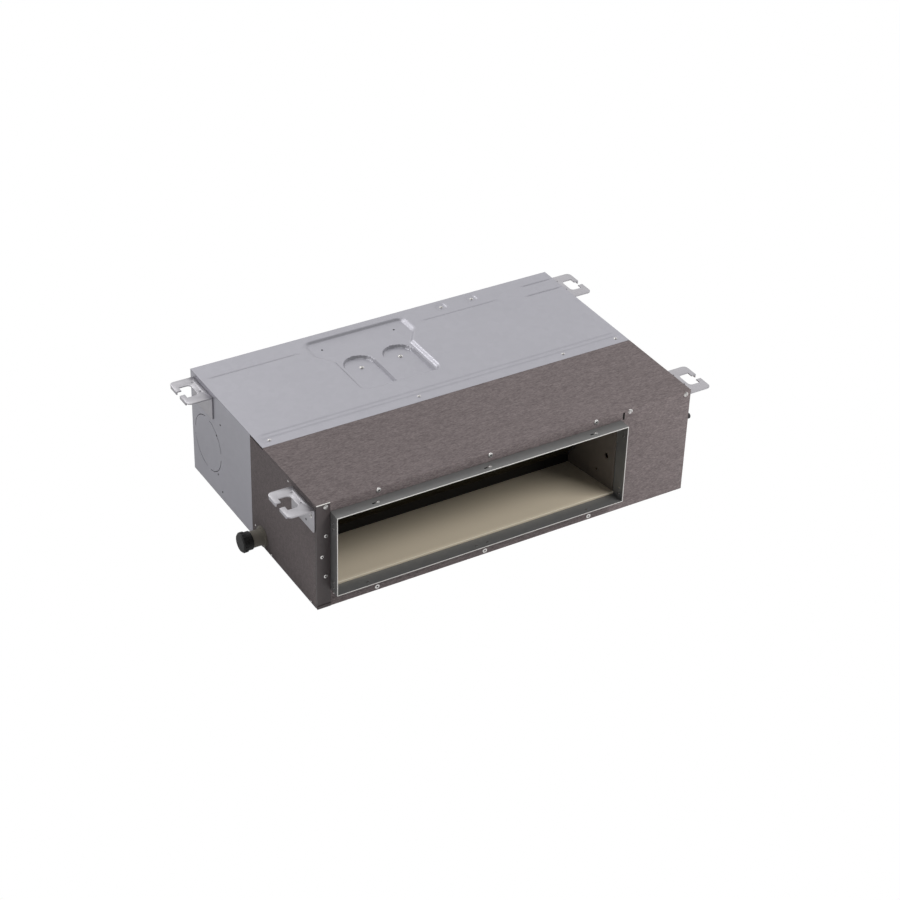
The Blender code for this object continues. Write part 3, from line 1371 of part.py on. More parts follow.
drain_socket()
coil_seal()
pipes()
drain_pump()
pump_impeller()
pump_bracket()
float_switch()
pump_outlet()


# Control box

def control_box():
    """The open sheet box behind the service cover, with its board, terminal block and run capacitor."""
    margin = BOARD_MARGIN
    left = HALF_LENGTH - SHEET - GAP - BOX_DEPTH
    right = HALF_LENGTH - SHEET - GAP
    tray = box("control_box", (left, BOX_FRONT, BOX_BOTTOM), (right, BOX_BACK, BOX_TOP))
    cut(tray, box("control_box_inside", (left + SHEET, BOX_FRONT + SHEET, BOX_BOTTOM + SHEET),
                  (right + SHEET, BOX_BACK - SHEET, BOX_TOP - SHEET), CUTTERS))
    for z in (BOX_BOTTOM + CABLE_HOLE_INSET, BOX_TOP - CABLE_HOLE_INSET):
        x = left + BOX_DEPTH / 2
        cut(tray, cylinder(f"cable_hole_{z:.3f}", 0.008, (x, BOX_FRONT - SHEET, z), (x, BOX_FRONT + 2 * SHEET, z),
                           CUTTERS, 16))
    finished(tray, ZINC)
    base = left + SHEET + GAP
    board_z = BOX_BOTTOM + BOARD_FOOT
    board = box("control_board", (base + STANDOFF, BOX_FRONT + margin, board_z),
                (base + STANDOFF + BOARD_SHEET, BOX_BACK - margin, BOX_TOP - margin))
    for y in (BOX_FRONT + margin + STANDOFF, BOX_BACK - margin - STANDOFF):
        for z in (board_z + STANDOFF, BOX_TOP - margin - STANDOFF):
            join(board, cylinder(f"standoff_{y:.3f}_{z:.3f}", STANDOFF / 2, (base, y, z),
                                 (base + STANDOFF + BOARD_SHEET / 2, y, z), sides=8))
    finished(board, BOARD_GREEN)
    first = BOX_FRONT + margin
    block_end = first + TERMINAL_PITCH * TERMINAL_COUNT + 2 * TERMINAL_WALL
    terminals = box("terminal_block", (base, first, BOX_BOTTOM + 0.008),
                    (base + 0.022, block_end, BOX_BOTTOM + 0.032))
    for i in range(TERMINAL_COUNT):
        y = first + 1.5 * TERMINAL_WALL + TERMINAL_PITCH * i
        cut(terminals, box(f"terminal_{i}", (base + 0.012, y, BOX_BOTTOM + 0.007),
                           (base + 0.030, y + TERMINAL_PITCH - TERMINAL_WALL, BOX_BOTTOM + 0.026), CUTTERS))
    finished(terminals, BLACK_PLASTIC)
    capacitor = box("run_capacitor", (base, block_end + TERMINAL_WALL, BOX_BOTTOM + 0.008),
                    (base + 0.030, BOX_BACK - margin, BOX_BOTTOM + 0.030))
    finished(capacitor, WHITE_PLASTIC)


def side_screw():
    """The black knurled screw near the front edge of the right side."""
    x = HALF_LENGTH + GAP
    profile = [
        (0.0, x + SCREW_REACH),
        (SCREW_RADIUS - 0.0008, x + SCREW_REACH),
        (SCREW_RADIUS, x + SCREW_REACH - 0.001),
        (SCREW_RADIUS, x + 0.001),
        (SCREW_RADIUS - 0.0015, x),
        (0.0, x),
    ]
    origin = (0.0, FRONT_Y + SCREW_SETBACK, CASE_HEIGHT - SCREW_DROP)
    finished(turned("side_screw", profile, origin, (1, 0, 0), steps=12), BLACK_PLASTIC)


control_box()
side_screw()
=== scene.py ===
"""Looks of a slim ducted air conditioner indoor unit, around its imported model.

Metres. X runs along the length, -Y is the outlet side, +Z is up. The sections follow the unit as it is
put together, from the sheets of the casing to the screws and the pieces inside.
"""

import math

import bmesh
import bpy
import numpy as np
from mathutils import Matrix, Vector


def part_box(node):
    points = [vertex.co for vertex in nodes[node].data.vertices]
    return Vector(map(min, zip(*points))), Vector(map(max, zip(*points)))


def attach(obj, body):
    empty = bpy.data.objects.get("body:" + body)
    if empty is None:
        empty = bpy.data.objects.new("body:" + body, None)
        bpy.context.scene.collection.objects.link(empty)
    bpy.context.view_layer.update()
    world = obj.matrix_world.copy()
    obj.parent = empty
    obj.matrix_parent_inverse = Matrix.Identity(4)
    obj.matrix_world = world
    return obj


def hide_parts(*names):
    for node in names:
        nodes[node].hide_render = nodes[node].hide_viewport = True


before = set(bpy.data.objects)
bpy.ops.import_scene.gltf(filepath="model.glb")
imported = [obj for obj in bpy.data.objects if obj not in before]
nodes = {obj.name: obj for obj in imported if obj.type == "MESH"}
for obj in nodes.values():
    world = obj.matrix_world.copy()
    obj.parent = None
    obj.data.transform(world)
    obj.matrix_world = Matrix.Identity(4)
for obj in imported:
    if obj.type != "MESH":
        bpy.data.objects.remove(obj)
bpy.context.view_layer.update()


# Camera. The photograph was taken with a long lens from the front left, well above the unit. The place and
# the lens were solved from the casing's corners.

camera_place = (-1.593747, -2.628094, 2.125756)
camera_azimuth = math.radians(-31.602)
camera_elevation = math.radians(33.94)
camera_roll = math.radians(1.823)
camera_data = bpy.data.cameras.new("camera")
camera_data.sensor_width = 36.0
camera_data.lens = 87.44
camera_data.clip_end = 50.0
camera = bpy.data.objects.new("camera", camera_data)
bpy.context.scene.collection.objects.link(camera)
camera_back = Vector((
    math.sin(camera_azimuth) * math.cos(camera_elevation),
    -math.cos(camera_azimuth) * math.cos(camera_elevation),
    math.sin(camera_elevation),
))
level_right = Vector((math.cos(camera_azimuth), math.sin(camera_azimuth), 0.0))
level_up = camera_back.cross(level_right)
camera_right = math.cos(camera_roll) * level_right + math.sin(camera_roll) * level_up
camera_up = -math.sin(camera_roll) * level_right + math.cos(camera_roll) * level_up
camera_turn = Matrix((camera_right, camera_up, camera_back)).transposed()
camera.matrix_world = Matrix.Translation(camera_place) @ camera_turn.to_4x4()
bpy.context.scene.camera = camera


# Floor, backdrop and light. The unit stands in a plain white studio: the ground shows white, and the light
# comes softly from the front right and above, so that the left side is in shade.

SOFT_LIGHT = 0.23
DARK_SIDE = 0.22
FLOOR_IN_METAL = 0.4
FLOOR_DROP = 0.0005
FLOOR_SIZE = 30.0


def colour(text):
    """An sRGB hex value as linear red, green, blue and alpha."""
    parts = [int(text[i:i + 2], 16) / 255 for i in (1, 3, 5)]
    return (*[c / 12.92 if c <= 0.04045 else ((c + 0.055) / 1.055) ** 2.4 for c in parts], 1.0)


def add(tree, kind, values=None, **settings):
    """Adds a node. Values are numbers or other nodes' outputs, by input; settings are its properties."""
    made = tree.nodes.new(kind)
    for name, value in settings.items():
        setattr(made, name, value)
    for name, value in (values or {}).items():
        if isinstance(value, bpy.types.NodeSocket):
            tree.links.new(value, made.inputs[name])
        else:
            made.inputs[name].default_value = value
    return made


world = bpy.data.worlds.new("studio")
bpy.context.scene.world = world
world.use_nodes = True
studio = world.node_tree
studio.nodes.clear()
seen = add(studio, "ShaderNodeLightPath")
seen_through = add(studio, "ShaderNodeMath", {
    0: seen.outputs["Is Camera Ray"], 1: seen.outputs["Is Transmission Ray"]}, operation="MAXIMUM")
seen_or_glossy = add(studio, "ShaderNodeMath", {
    0: seen_through.outputs[0], 1: seen.outputs["Is Glossy Ray"]}, operation="MAXIMUM")
soft = add(studio, "ShaderNodeBackground", {"Color": colour("#F2F4F8"), "Strength": SOFT_LIGHT})
# The studio is dark towards the viewer's side and white behind the unit, which metal shows.
direction = add(studio, "ShaderNodeTexCoord")
parts = add(studio, "ShaderNodeSeparateXYZ", {0: direction.outputs["Generated"]})
towards_back = add(studio, "ShaderNodeMapRange", {
    0: parts.outputs[1], 1: -0.5, 2: 0.35, 3: DARK_SIDE, 4: 1.0})
level = add(studio, "ShaderNodeMath", {
    0: towards_back.outputs[0], 1: seen_through.outputs[0]}, operation="MAXIMUM")
white = add(studio, "ShaderNodeBackground", {"Color": colour("#FFFFFF"), "Strength": level.outputs[0]})
both = add(studio, "ShaderNodeMixShader", {
    0: seen_or_glossy.outputs[0], 1: soft.outputs[0], 2: white.outputs[0]})
add(studio, "ShaderNodeOutputWorld", {"Surface": both.outputs[0]})


def lamp(name, place, aim, size, power):
    """A soft rectangular lamp that points at a spot."""
    data = bpy.data.lights.new(name, "AREA")
    data.shape = "RECTANGLE"
    data.size = size[0]
    data.size_y = size[1]
    data.energy = power
    made = bpy.data.objects.new(name, data)
    made.location = place
    made.rotation_euler = (Vector(aim) - Vector(place)).to_track_quat("-Z", "Y").to_euler()
    bpy.context.scene.collection.objects.link(made)
    return made


key_lamp = lamp("key_lamp", place=(1.4, -1.85, 2.3), aim=(0.0, 0.0, 0.1), size=(1.6, 1.2), power=70.0)
key_lamp.visible_glossy = False
lamp("back_lamp", place=(-0.8, 1.8, 2.2), aim=(0.0, 0.1, 0.2), size=(1.6, 1.0), power=16.0)

bpy.ops.object.select_all(action="DESELECT")
bpy.ops.mesh.primitive_plane_add(size=FLOOR_SIZE, location=(0.0, 0.0, -FLOOR_DROP))
floor = bpy.context.object
floor.name = "floor"
# White studio paper: it shows pure white, and metal shows it dimmer.
paper = bpy.data.materials.new("studio_paper")
paper.use_nodes = True
paper_tree = paper.node_tree
paper_tree.nodes.clear()
paper_seen = add(paper_tree, "ShaderNodeLightPath")
paper_diffuse = add(paper_tree, "ShaderNodeBsdfDiffuse", {"Color": colour("#F4F4F4")})
paper_glow = add(paper_tree, "ShaderNodeEmission", {"Color": colour("#FFFFFF"), "Strength": 1.0})
paper_level = add(paper_tree, "ShaderNodeMath", {
    0: paper_seen.outputs["Is Glossy Ray"], 1: FLOOR_IN_METAL, 2: paper_seen.outputs["Is Camera Ray"],
}, operation="MULTIPLY_ADD")
paper_mix = add(paper_tree, "ShaderNodeMixShader", {
    0: paper_level.outputs[0], 1: paper_diffuse.outputs[0], 2: paper_glow.outputs[0]})
add(paper_tree, "ShaderNodeOutputMaterial", {"Surface": paper_mix.outputs[0]})
floor.data.materials.append(paper)


# Galvanised sheet of the casing. Cold-rolled steel dipped in zinc, cut, bent and screwed together at its
# flanges; the fan deck and the brackets inside are of the same sheet.

CLOUD = 0.111
SPANGLE = 0.011
LINE_SPACING = 0.004
LINE_LENGTH = 0.333
SPANGLE_SHARE = 0.35
LINE_SHARE = 0.25
SHINE_SPREAD = (-0.05, 0.08)
ZINC_RELIEF = 0.0004


def new_finish(name, base, roughness, metallic=0.0):
    """A material with a Principled shader, and its tree and shader to build on."""
    made = bpy.data.materials.new(name)
    made.use_nodes = True
    tree = made.node_tree
    shader = tree.nodes["Principled BSDF"]
    shader.inputs["Base Color"].default_value = colour(base)
    shader.inputs["Roughness"].default_value = roughness
    shader.inputs["Metallic"].default_value = metallic
    return made, tree, shader


def dress(obj, finish):
    """Gives a piece one finish all over."""
    obj.data.materials.clear()
    obj.data.materials.append(finish)
    return obj


def metal_finish(name, light, dark, roughness=0.38, metallic=0.75):
    """A metal with broad clouds, a crystal spangle and rolling lines along X, between two tones."""
    made, tree, shader = new_finish(name, light, roughness, metallic)
    where = add(tree, "ShaderNodeTexCoord")
    cloud = add(tree, "ShaderNodeTexNoise", {
        "Vector": where.outputs["Object"], "Scale": 1.0 / CLOUD, "Detail": 5.0, "Roughness": 0.6})
    spangle = add(tree, "ShaderNodeTexVoronoi", {"Vector": where.outputs["Object"], "Scale": 1.0 / SPANGLE})
    # The real lines are finer than a pixel, so they are drawn as coarse as they need to show.
    stretch = add(tree, "ShaderNodeMapping", {
        "Vector": where.outputs["Object"],
        "Scale": (1.0 / LINE_LENGTH, 1.0 / LINE_SPACING, 1.0 / LINE_SPACING)})
    lines = add(tree, "ShaderNodeTexNoise", {"Vector": stretch.outputs[0], "Scale": 1.0, "Detail": 3.0})
    mixed = add(tree, "ShaderNodeMix", {
        0: SPANGLE_SHARE, 2: cloud.outputs[0], 3: spangle.outputs["Color"]}, data_type="FLOAT")
    tone = add(tree, "ShaderNodeMix", {
        0: LINE_SHARE, 2: mixed.outputs[0], 3: lines.outputs[0]}, data_type="FLOAT")
    shade = add(tree, "ShaderNodeMix", {
        0: tone.outputs[0], 6: colour(dark), 7: colour(light)}, data_type="RGBA")
    tree.links.new(shade.outputs[2], shader.inputs["Base Color"])
    rough = add(tree, "ShaderNodeMapRange", {
        0: lines.outputs[0], 3: roughness + SHINE_SPREAD[0], 4: roughness + SHINE_SPREAD[1]})
    tree.links.new(rough.outputs[0], shader.inputs["Roughness"])
    bump = add(tree, "ShaderNodeBump", {
        "Strength": 0.03, "Distance": ZINC_RELIEF, "Height": tone.outputs[0]})
    tree.links.new(bump.outputs[0], shader.inputs["Normal"])
    return made


# Galvanised steel: a satin silver grey, cool, with a faint cloudy spangle and soft reflections.
sheet = metal_finish("galvanised_sheet", "#B6B5BC", "#A9A8AF")
for name in ("left_rear_panel", "right_rear_panel", "service_cover", "rear_bottom_panel",
             "front_bottom_panel", "return_frame", "lower_filter_rail", "upper_filter_rail",
             "right_front_panel", "front_top_panel", "front_panel", "fan_deck", "left_motor_bracket",
             "right_motor_bracket", "pump_bracket", "control_box", "coil_left_plate", "coil_right_plate"):
    dress(nodes[name], sheet)


# Rear top panel. One galvanised sheet over the fans, with its forms pressed in one stroke: a stepped bead
# along the front edge, a tee-shaped recess with two arched motor pads, two square pads and thin grooves.

SHEET_THICKNESS = 0.001
FINE_GRID = 0.0015
COARSE_GRID = 0.005
SMOOTH_ANGLE = math.radians(40)
top_low, top_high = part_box("rear_top_panel")
TOP = top_high.z
BORDER_Y = top_low.y
BACK_Y = top_high.y
HALF_LENGTH = top_high.x
MOTOR_X = -0.053
PAD_SPACING = 0.075
PAD_RADIUS = 0.0265
PAD_DEPTH = 0.0095
PAD_SLOPE = 0.0045
PAD_ARCH_Y = 0.110
PAD_FOOT = 0.004
RECESS_FRONT_Y = 0.036
RECESS_DEPTH = 0.0045
RECESS_SLOPE = 0.0075
RECESS_ROUND = 0.010
RECESS_STEM = 0.060
RECESS_HEAD = 0.082
RECESS_SHOULDER_Y = (0.137, 0.169)
RECESS_BACK_Y = 0.193
BEAD_STEPS_Y = (-0.033, -0.030, -0.020, -0.017, -0.011, -0.008)
BEAD_DEPTHS = (0.0, 0.0026, 0.0026, 0.0013, 0.0013, 0.0)
BEAD_END_ROOM = 0.009
BEAD_END_SLOPE = 0.003
GROOVE_DEPTH = 0.0010
GROOVE_FLOOR = 0.0004
GROOVE_SLOPE = 0.0016
# Each groove is a line of points; the first two end in a short curl.
GROOVES = (
    ((-0.334, 0.183), (-0.174, 0.183), (-0.1685, 0.180), (-0.167, 0.171)),
    ((0.069, 0.180), (0.217, 0.180), (0.223, 0.177), (0.225, 0.169)),
    ((0.281, 0.199), (0.346, 0.199)),
    ((0.272, 0.166), (0.346, 0.166)),
)
SQUARE_PADS = ((0.122, 0.206), (0.184, 0.206))
SQUARE_HALF = 0.004
SQUARE_ROUND = 0.003
SQUARE_DEPTH = 0.0018
SQUARE_SLOPE = 0.004
# Stretches of the sheet that hold a pressed form and so need close grid lines.
PRESSED_Y = ((BORDER_Y, -0.006), (0.028, 0.212))
PRESSED_X = ((-0.1445, 0.0385), (0.112, 0.132), (0.174, 0.194))


def only(obj):
    """Selects one object and makes it the active one."""
    bpy.ops.object.select_all(action="DESELECT")
    obj.select_set(True)
    bpy.context.view_layer.objects.active = obj
    return obj


def settled(obj):
    """The object with its place, turn and size moved into its mesh."""
    only(obj)
    bpy.ops.object.transform_apply(location=True, rotation=True, scale=True)
    return obj


def worked(obj, kind, **settings):
    """Adds a modifier and applies it."""
    only(obj)
    made = obj.modifiers.new(kind.lower(), kind)
    for name, value in settings.items():
        setattr(made, name, value)
    bpy.ops.object.modifier_apply(modifier=made.name)
    return obj


def smooth(obj):
    """Shades an object smooth, apart from its sharp edges."""
    only(obj)
    bpy.ops.object.shade_smooth_by_angle(angle=SMOOTH_ANGLE)
    return obj


def outside_polygon(x, y, corners):
    """Distance of each point from a polygon, less than nothing inside it."""
    nearest = np.full(x.shape, np.inf)
    inside = np.zeros(x.shape, bool)
    for (ax, ay), (bx, by) in zip(corners, corners[1:] + corners[:1]):
        ex, ey = bx - ax, by - ay
        share = np.clip(((x - ax) * ex + (y - ay) * ey) / (ex * ex + ey * ey), 0.0, 1.0)
        nearest = np.minimum(nearest, np.hypot(x - ax - share * ex, y - ay - share * ey))
        # A level side is never crossed, so what its run is divided by doesn't matter.
        crosses = (ay > y) != (by > y)
        inside ^= crosses & (x < ex * (y - ay) / (ey or 1.0) + ax)
    return np.where(inside, -nearest, nearest)


def sunk(distance, depth, slope):
    """How far the sheet lies below its face, at a distance from a pressed floor's outline."""
    share = np.clip(1.0 - distance / slope, 0.0, 1.0)
    return depth * share * share * (3.0 - 2.0 * share)


def pressed_depth(x, y):
    """Depth of the pressed sheet below the plain face at each point."""
    stem_y = RECESS_FRONT_Y + RECESS_ROUND
    right_side = [
        (RECESS_STEM, stem_y), (RECESS_STEM, RECESS_SHOULDER_Y[0]), (RECESS_HEAD, RECESS_SHOULDER_Y[1]),
        (RECESS_HEAD, RECESS_BACK_Y)]
    recess = [(MOTOR_X + u, v) for u, v in right_side] + [(MOTOR_X - u, v) for u, v in reversed(right_side)]
    depth = sunk(outside_polygon(x, y, recess) - RECESS_ROUND, RECESS_DEPTH, RECESS_SLOPE)
    for side in (-0.5, 0.5):
        middle = MOTOR_X + side * PAD_SPACING
        arch = np.where(y > PAD_ARCH_Y, np.hypot(x - middle, y - PAD_ARCH_Y) - PAD_RADIUS,
                        np.maximum(np.abs(x - middle) - PAD_RADIUS, RECESS_FRONT_Y + PAD_FOOT - y))
        depth = np.maximum(depth, sunk(arch, PAD_DEPTH, PAD_SLOPE))
    along = np.interp(y, [BORDER_Y] + list(BEAD_STEPS_Y), [0.0] + list(BEAD_DEPTHS))
    ends = np.clip((HALF_LENGTH - BEAD_END_ROOM - np.abs(x)) / BEAD_END_SLOPE, 0.0, 1.0)
    depth = np.maximum(depth, along * ends)
    for px, py in SQUARE_PADS:
        west, east = px - SQUARE_HALF, px + SQUARE_HALF
        south, north = py - SQUARE_HALF, py + SQUARE_HALF
        corners = [(west, south), (east, south), (east, north), (west, north)]
        square = outside_polygon(x, y, corners) - SQUARE_ROUND
        depth = np.maximum(depth, sunk(square, SQUARE_DEPTH, SQUARE_SLOPE))
    for line in GROOVES:
        for start, end in zip(line, line[1:]):
            run = np.array(end) - np.array(start)
            share = np.clip(((x - start[0]) * run[0] + (y - start[1]) * run[1]) / (run @ run), 0.0, 1.0)
            away = np.hypot(x - start[0] - share * run[0], y - start[1] - share * run[1])
            depth = np.maximum(depth, sunk(away - GROOVE_FLOOR, GROOVE_DEPTH, GROOVE_SLOPE))
    return depth


def grid_lines(low, high, fine_stretches):
    """Line places from low to high, close together in the fine stretches and wide apart elsewhere."""
    lines = [low]
    while lines[-1] < high - COARSE_GRID:
        fine = any(a - COARSE_GRID < lines[-1] < b for a, b in fine_stretches)
        lines.append(lines[-1] + (FINE_GRID if fine else COARSE_GRID))
    return np.array(lines + [high])


rows = grid_lines(BORDER_Y, BACK_Y, PRESSED_Y)
columns = grid_lines(-HALF_LENGTH, HALF_LENGTH, PRESSED_X)
bpy.ops.object.select_all(action="DESELECT")
bpy.ops.mesh.primitive_grid_add(
    x_subdivisions=len(columns) - 1, y_subdivisions=len(rows) - 1, size=1.0, location=(0.0, 0.0, TOP))
top_panel = bpy.context.object
top_panel.name = "pressed_top_panel"
settled(top_panel)
spots = np.empty(len(top_panel.data.vertices) * 3)
top_panel.data.vertices.foreach_get("co", spots)
spots = spots.reshape(-1, 3)
spots[:, 0] = np.interp(spots[:, 0], np.linspace(-0.5, 0.5, len(columns)), columns)
spots[:, 1] = np.interp(spots[:, 1], np.linspace(-0.5, 0.5, len(rows)), rows)
spots[:, 2] = TOP - pressed_depth(spots[:, 0], spots[:, 1])
top_panel.data.vertices.foreach_set("co", spots.ravel())
top_panel.data.update()
worked(top_panel, "SOLIDIFY", thickness=SHEET_THICKNESS, offset=-1.0)
smooth(top_panel)
dress(top_panel, sheet)
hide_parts("rear_top_panel")
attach(top_panel, "casing")


# Felt over the coil section. Needled polyester felt, grey brown, glued to the steel to stop it sweating. One
# piece is folded over the top front edge and cut out round the outlet.

FIBRE = 0.0014
BLOTCH = 0.0056
FIBRE_RUN = 0.3
BLOTCH_SHARE = 0.3
FLECKS = (0.34, 0.66)
NAP = 0.0007
FELT_ROUND = 0.0035
FELT_SIDE_ROUND = 0.002


def felt_finish(name, light, dark):
    """A matt nap of fibres that lie mostly along X, flecked between two tones."""
    made, tree, shader = new_finish(name, light, 0.95)
    where = add(tree, "ShaderNodeTexCoord")
    # A real fibre is under 0.1 mm thick, so tufts stand in for single fibres.
    along = add(tree, "ShaderNodeMapping", {
        "Vector": where.outputs["Object"], "Scale": (FIBRE_RUN, 1.0, 1.0)})
    fibre = add(tree, "ShaderNodeTexNoise", {
        "Vector": along.outputs[0], "Scale": 1.0 / FIBRE, "Detail": 3.0, "Roughness": 0.65})
    blotch = add(tree, "ShaderNodeTexNoise", {
        "Vector": along.outputs[0], "Scale": 1.0 / BLOTCH, "Detail": 3.0, "Roughness": 0.6})
    mixed = add(tree, "ShaderNodeMix", {
        0: BLOTCH_SHARE, 2: fibre.outputs[0], 3: blotch.outputs[0]}, data_type="FLOAT")
    spread = add(tree, "ShaderNodeMapRange", {0: mixed.outputs[0], 1: FLECKS[0], 2: FLECKS[1]})
    shade = add(tree, "ShaderNodeMix", {
        0: spread.outputs[0], 6: colour(dark), 7: colour(light)}, data_type="RGBA")
    tree.links.new(shade.outputs[2], shader.inputs["Base Color"])
    bump = add(tree, "ShaderNodeBump", {"Strength": 0.5, "Distance": NAP, "Height": mixed.outputs[0]})
    tree.links.new(bump.outputs[0], shader.inputs["Normal"])
    shader.inputs["Sheen Weight"].default_value = 0.1
    shader.inputs["Sheen Roughness"].default_value = 0.6
    return made


def block(name, low, high):
    """A box between two corners, with its place in its mesh."""
    bpy.ops.object.select_all(action="DESELECT")
    bpy.ops.mesh.primitive_cube_add(size=1.0, location=[(a + b) / 2 for a, b in zip(low, high)])
    made = bpy.context.object
    made.name = name
    made.scale = [b - a for a, b in zip(low, high)]
    return settled(made)


def rod(name, radius, start, end, sides=24):
    """A round bar from one point to another."""
    bpy.ops.object.select_all(action="DESELECT")
    start, end = Vector(start), Vector(end)
    bpy.ops.mesh.primitive_cylinder_add(
        vertices=sides, radius=radius, depth=(end - start).length, location=(start + end) / 2,
        rotation=(end - start).to_track_quat("Z", "Y").to_euler())
    made = bpy.context.object
    made.name = name
    return settled(made)


def shaped(obj, operation, *tools):
    """Joins or cuts with other solids, which are then removed."""
    for tool in tools:
        worked(obj, "BOOLEAN", operation=operation, object=tool, solver="EXACT")
        bpy.data.objects.remove(tool, do_unlink=True)
    return obj


def rounded_edges(obj, wanted, width, segments):
    """Bevels the edges whose two ends are both wanted by place."""
    only(obj)
    bpy.ops.object.mode_set(mode="EDIT")
    bpy.ops.mesh.select_mode(type="EDGE")
    bpy.ops.mesh.select_all(action="DESELECT")
    shape = bmesh.from_edit_mesh(obj.data)
    for edge in shape.edges:
        if all(wanted(corner.co) for corner in edge.verts):
            edge.select = True
    bmesh.update_edit_mesh(obj.data)
    bpy.ops.mesh.bevel(offset=width, segments=segments, affect="EDGES")
    bpy.ops.object.mode_set(mode="OBJECT")
    return obj


# Polyester felt: matt and warm grey, flecked with darker tufts, with a slight pale sheen at a low angle.
felt = felt_finish("needled_felt", "#8A7F7E", "#5F5555")
for name in ("left_felt", "right_felt"):
    dress(nodes[name], felt)
felt_low, felt_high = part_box("front_felt")
over_low, over_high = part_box("top_felt")
FRONT_Y = felt_low.y
CUT_ROOM = 0.01
FELT_LAP = 0.001
# The cut-out runs out past the felt's left end, where the collar meets the coated strip.
CUT_OUT_LEFT = -0.400
CUT_OUT_RIGHT = 0.2113
CUT_OUT_BOTTOM = 0.0322
CUT_OUT_TOP = 0.1813
AT_FACE = 0.0005
wrap = block("felt_wrap", felt_low, felt_high)
shaped(wrap, "UNION", block("felt_top", (over_low.x, FRONT_Y + FELT_LAP, over_low.z), over_high))
shaped(wrap, "DIFFERENCE", block(
    "felt_opening", (CUT_OUT_LEFT, FRONT_Y - CUT_ROOM, CUT_OUT_BOTTOM),
    (CUT_OUT_RIGHT, felt_high.y + CUT_ROOM, CUT_OUT_TOP)))
rounded_edges(wrap, lambda at: at.y < FRONT_Y + AT_FACE and at.z > TOP - AT_FACE, FELT_ROUND, 4)
rounded_edges(
    wrap, lambda at: at.y < FRONT_Y + AT_FACE and at.x > HALF_LENGTH - AT_FACE, FELT_SIDE_ROUND, 2)
smooth(wrap)
dress(wrap, felt)
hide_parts("front_felt", "top_felt")
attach(wrap, "casing")


# Drain pan. A moulded tray of beige polystyrene foam with a smooth skin, which lies under the coil and shows
# through the outlet, with a thin painted highlight along its front lip.

MOULD_GRAIN = 0.00111
MOULD_RELIEF = 0.00008
PAN_EDGE_LOW = (-0.3235, -0.2226, 0.0374)
PAN_EDGE_HIGH = (0.2085, -0.2212, 0.0384)


def moulded(name, base, roughness):
    """A moulded or dipped skin of one colour, with a fine grain in its shine."""
    made, tree, shader = new_finish(name, base, roughness)
    where = add(tree, "ShaderNodeTexCoord")
    skin = add(tree, "ShaderNodeTexNoise", {
        "Vector": where.outputs["Object"], "Scale": 1.0 / MOULD_GRAIN, "Detail": 2.0})
    bump = add(tree, "ShaderNodeBump", {
        "Strength": 0.3, "Distance": MOULD_RELIEF, "Height": skin.outputs[0]})
    tree.links.new(bump.outputs[0], shader.inputs["Normal"])
    return made


# Moulded polystyrene: plain warm beige, half matt, that takes the shade of the outlet softly.
dress(nodes["drain_pan"], moulded("moulded_polystyrene", "#DACDB6", 0.5))
# A paler strip along its front lip is a painted highlight: the thin pale line where the lip catches the
# light.
pan_lip_highlight = block("pan_lip_highlight", PAN_EDGE_LOW, PAN_EDGE_HIGH)
dress(pan_lip_highlight, moulded("painted_lip_highlight", "#F0E6D2", 0.4))
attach(pan_lip_highlight, "casing")


# Dark strip at the front left corner. It is the bent end of the left side sheet, dark grey brown and sheared
# at the top, where a painted highlight draws its cut edge, with a small jog at its foot.

EDGE_DEPTH = 0.0012
EDGE_PROUD = 0.0003
EDGE_BELOW = 0.0006
EDGE_ABOVE = 0.0002
JOG_INSET = 0.0005
JOG_PROUD = 0.0012
JOG_TOP = 0.0060
strip_right = felt_low.x
# The strip's sheet: dark grey brown, smooth and a little glossy.
dark_strip = moulded("dark_grey_brown_finish", "#4E4646", 0.4)
dress(nodes["left_front_panel"], dark_strip)
# Painted highlight along the cut edges: near-white and metallic, a thin light line where each edge catches
# the light.
edge_highlight = new_finish("painted_edge_highlight", "#E8E6E2", 0.3, 0.6)[0]
top_edge = block("strip_edge_highlight", (-HALF_LENGTH, FRONT_Y - EDGE_PROUD, TOP - EDGE_BELOW),
                 (strip_right, FRONT_Y + EDGE_DEPTH, TOP + EDGE_ABOVE))
dress(top_edge, edge_highlight)
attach(top_edge, "casing")
foot_jog = block("strip_foot", (-HALF_LENGTH + JOG_INSET, FRONT_Y - JOG_PROUD, JOG_INSET),
                 (strip_right - JOG_INSET, FRONT_Y + JOG_INSET, JOG_TOP))
dress(foot_jog, dark_strip)
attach(foot_jog, "casing")


# Outlet collar. A thin frame folded from galvanised sheet of a duller grade and screwed on behind the felt,
# for the duct to slide over. Its front is a cut edge, drawn as a thin painted highlight.

COLLAR_FRONT_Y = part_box("outlet_collar")[0].y
COLLAR_LEFT = -0.326
COLLAR_RIGHT = 0.211
COLLAR_BOTTOM = 0.0325
COLLAR_TOP = 0.181
RIM_WIDTH = 0.0011
RIM_PROUD = 0.0001
RIM_FRONT = 0.0002
RIM_BACK = 0.0004
FELT_EDGE_LOW = (felt_low.x + 0.004, FRONT_Y - 0.0006, COLLAR_BOTTOM - 0.0105)
FELT_EDGE_HIGH = (COLLAR_RIGHT + 0.002, FRONT_Y + 0.0003, COLLAR_BOTTOM - 0.0093)
SLIT_LOW = (0.2140, FRONT_Y - 0.0003, COLLAR_TOP)
SLIT_HIGH = (0.2172, FRONT_Y + 0.0005, TOP - 0.0035)
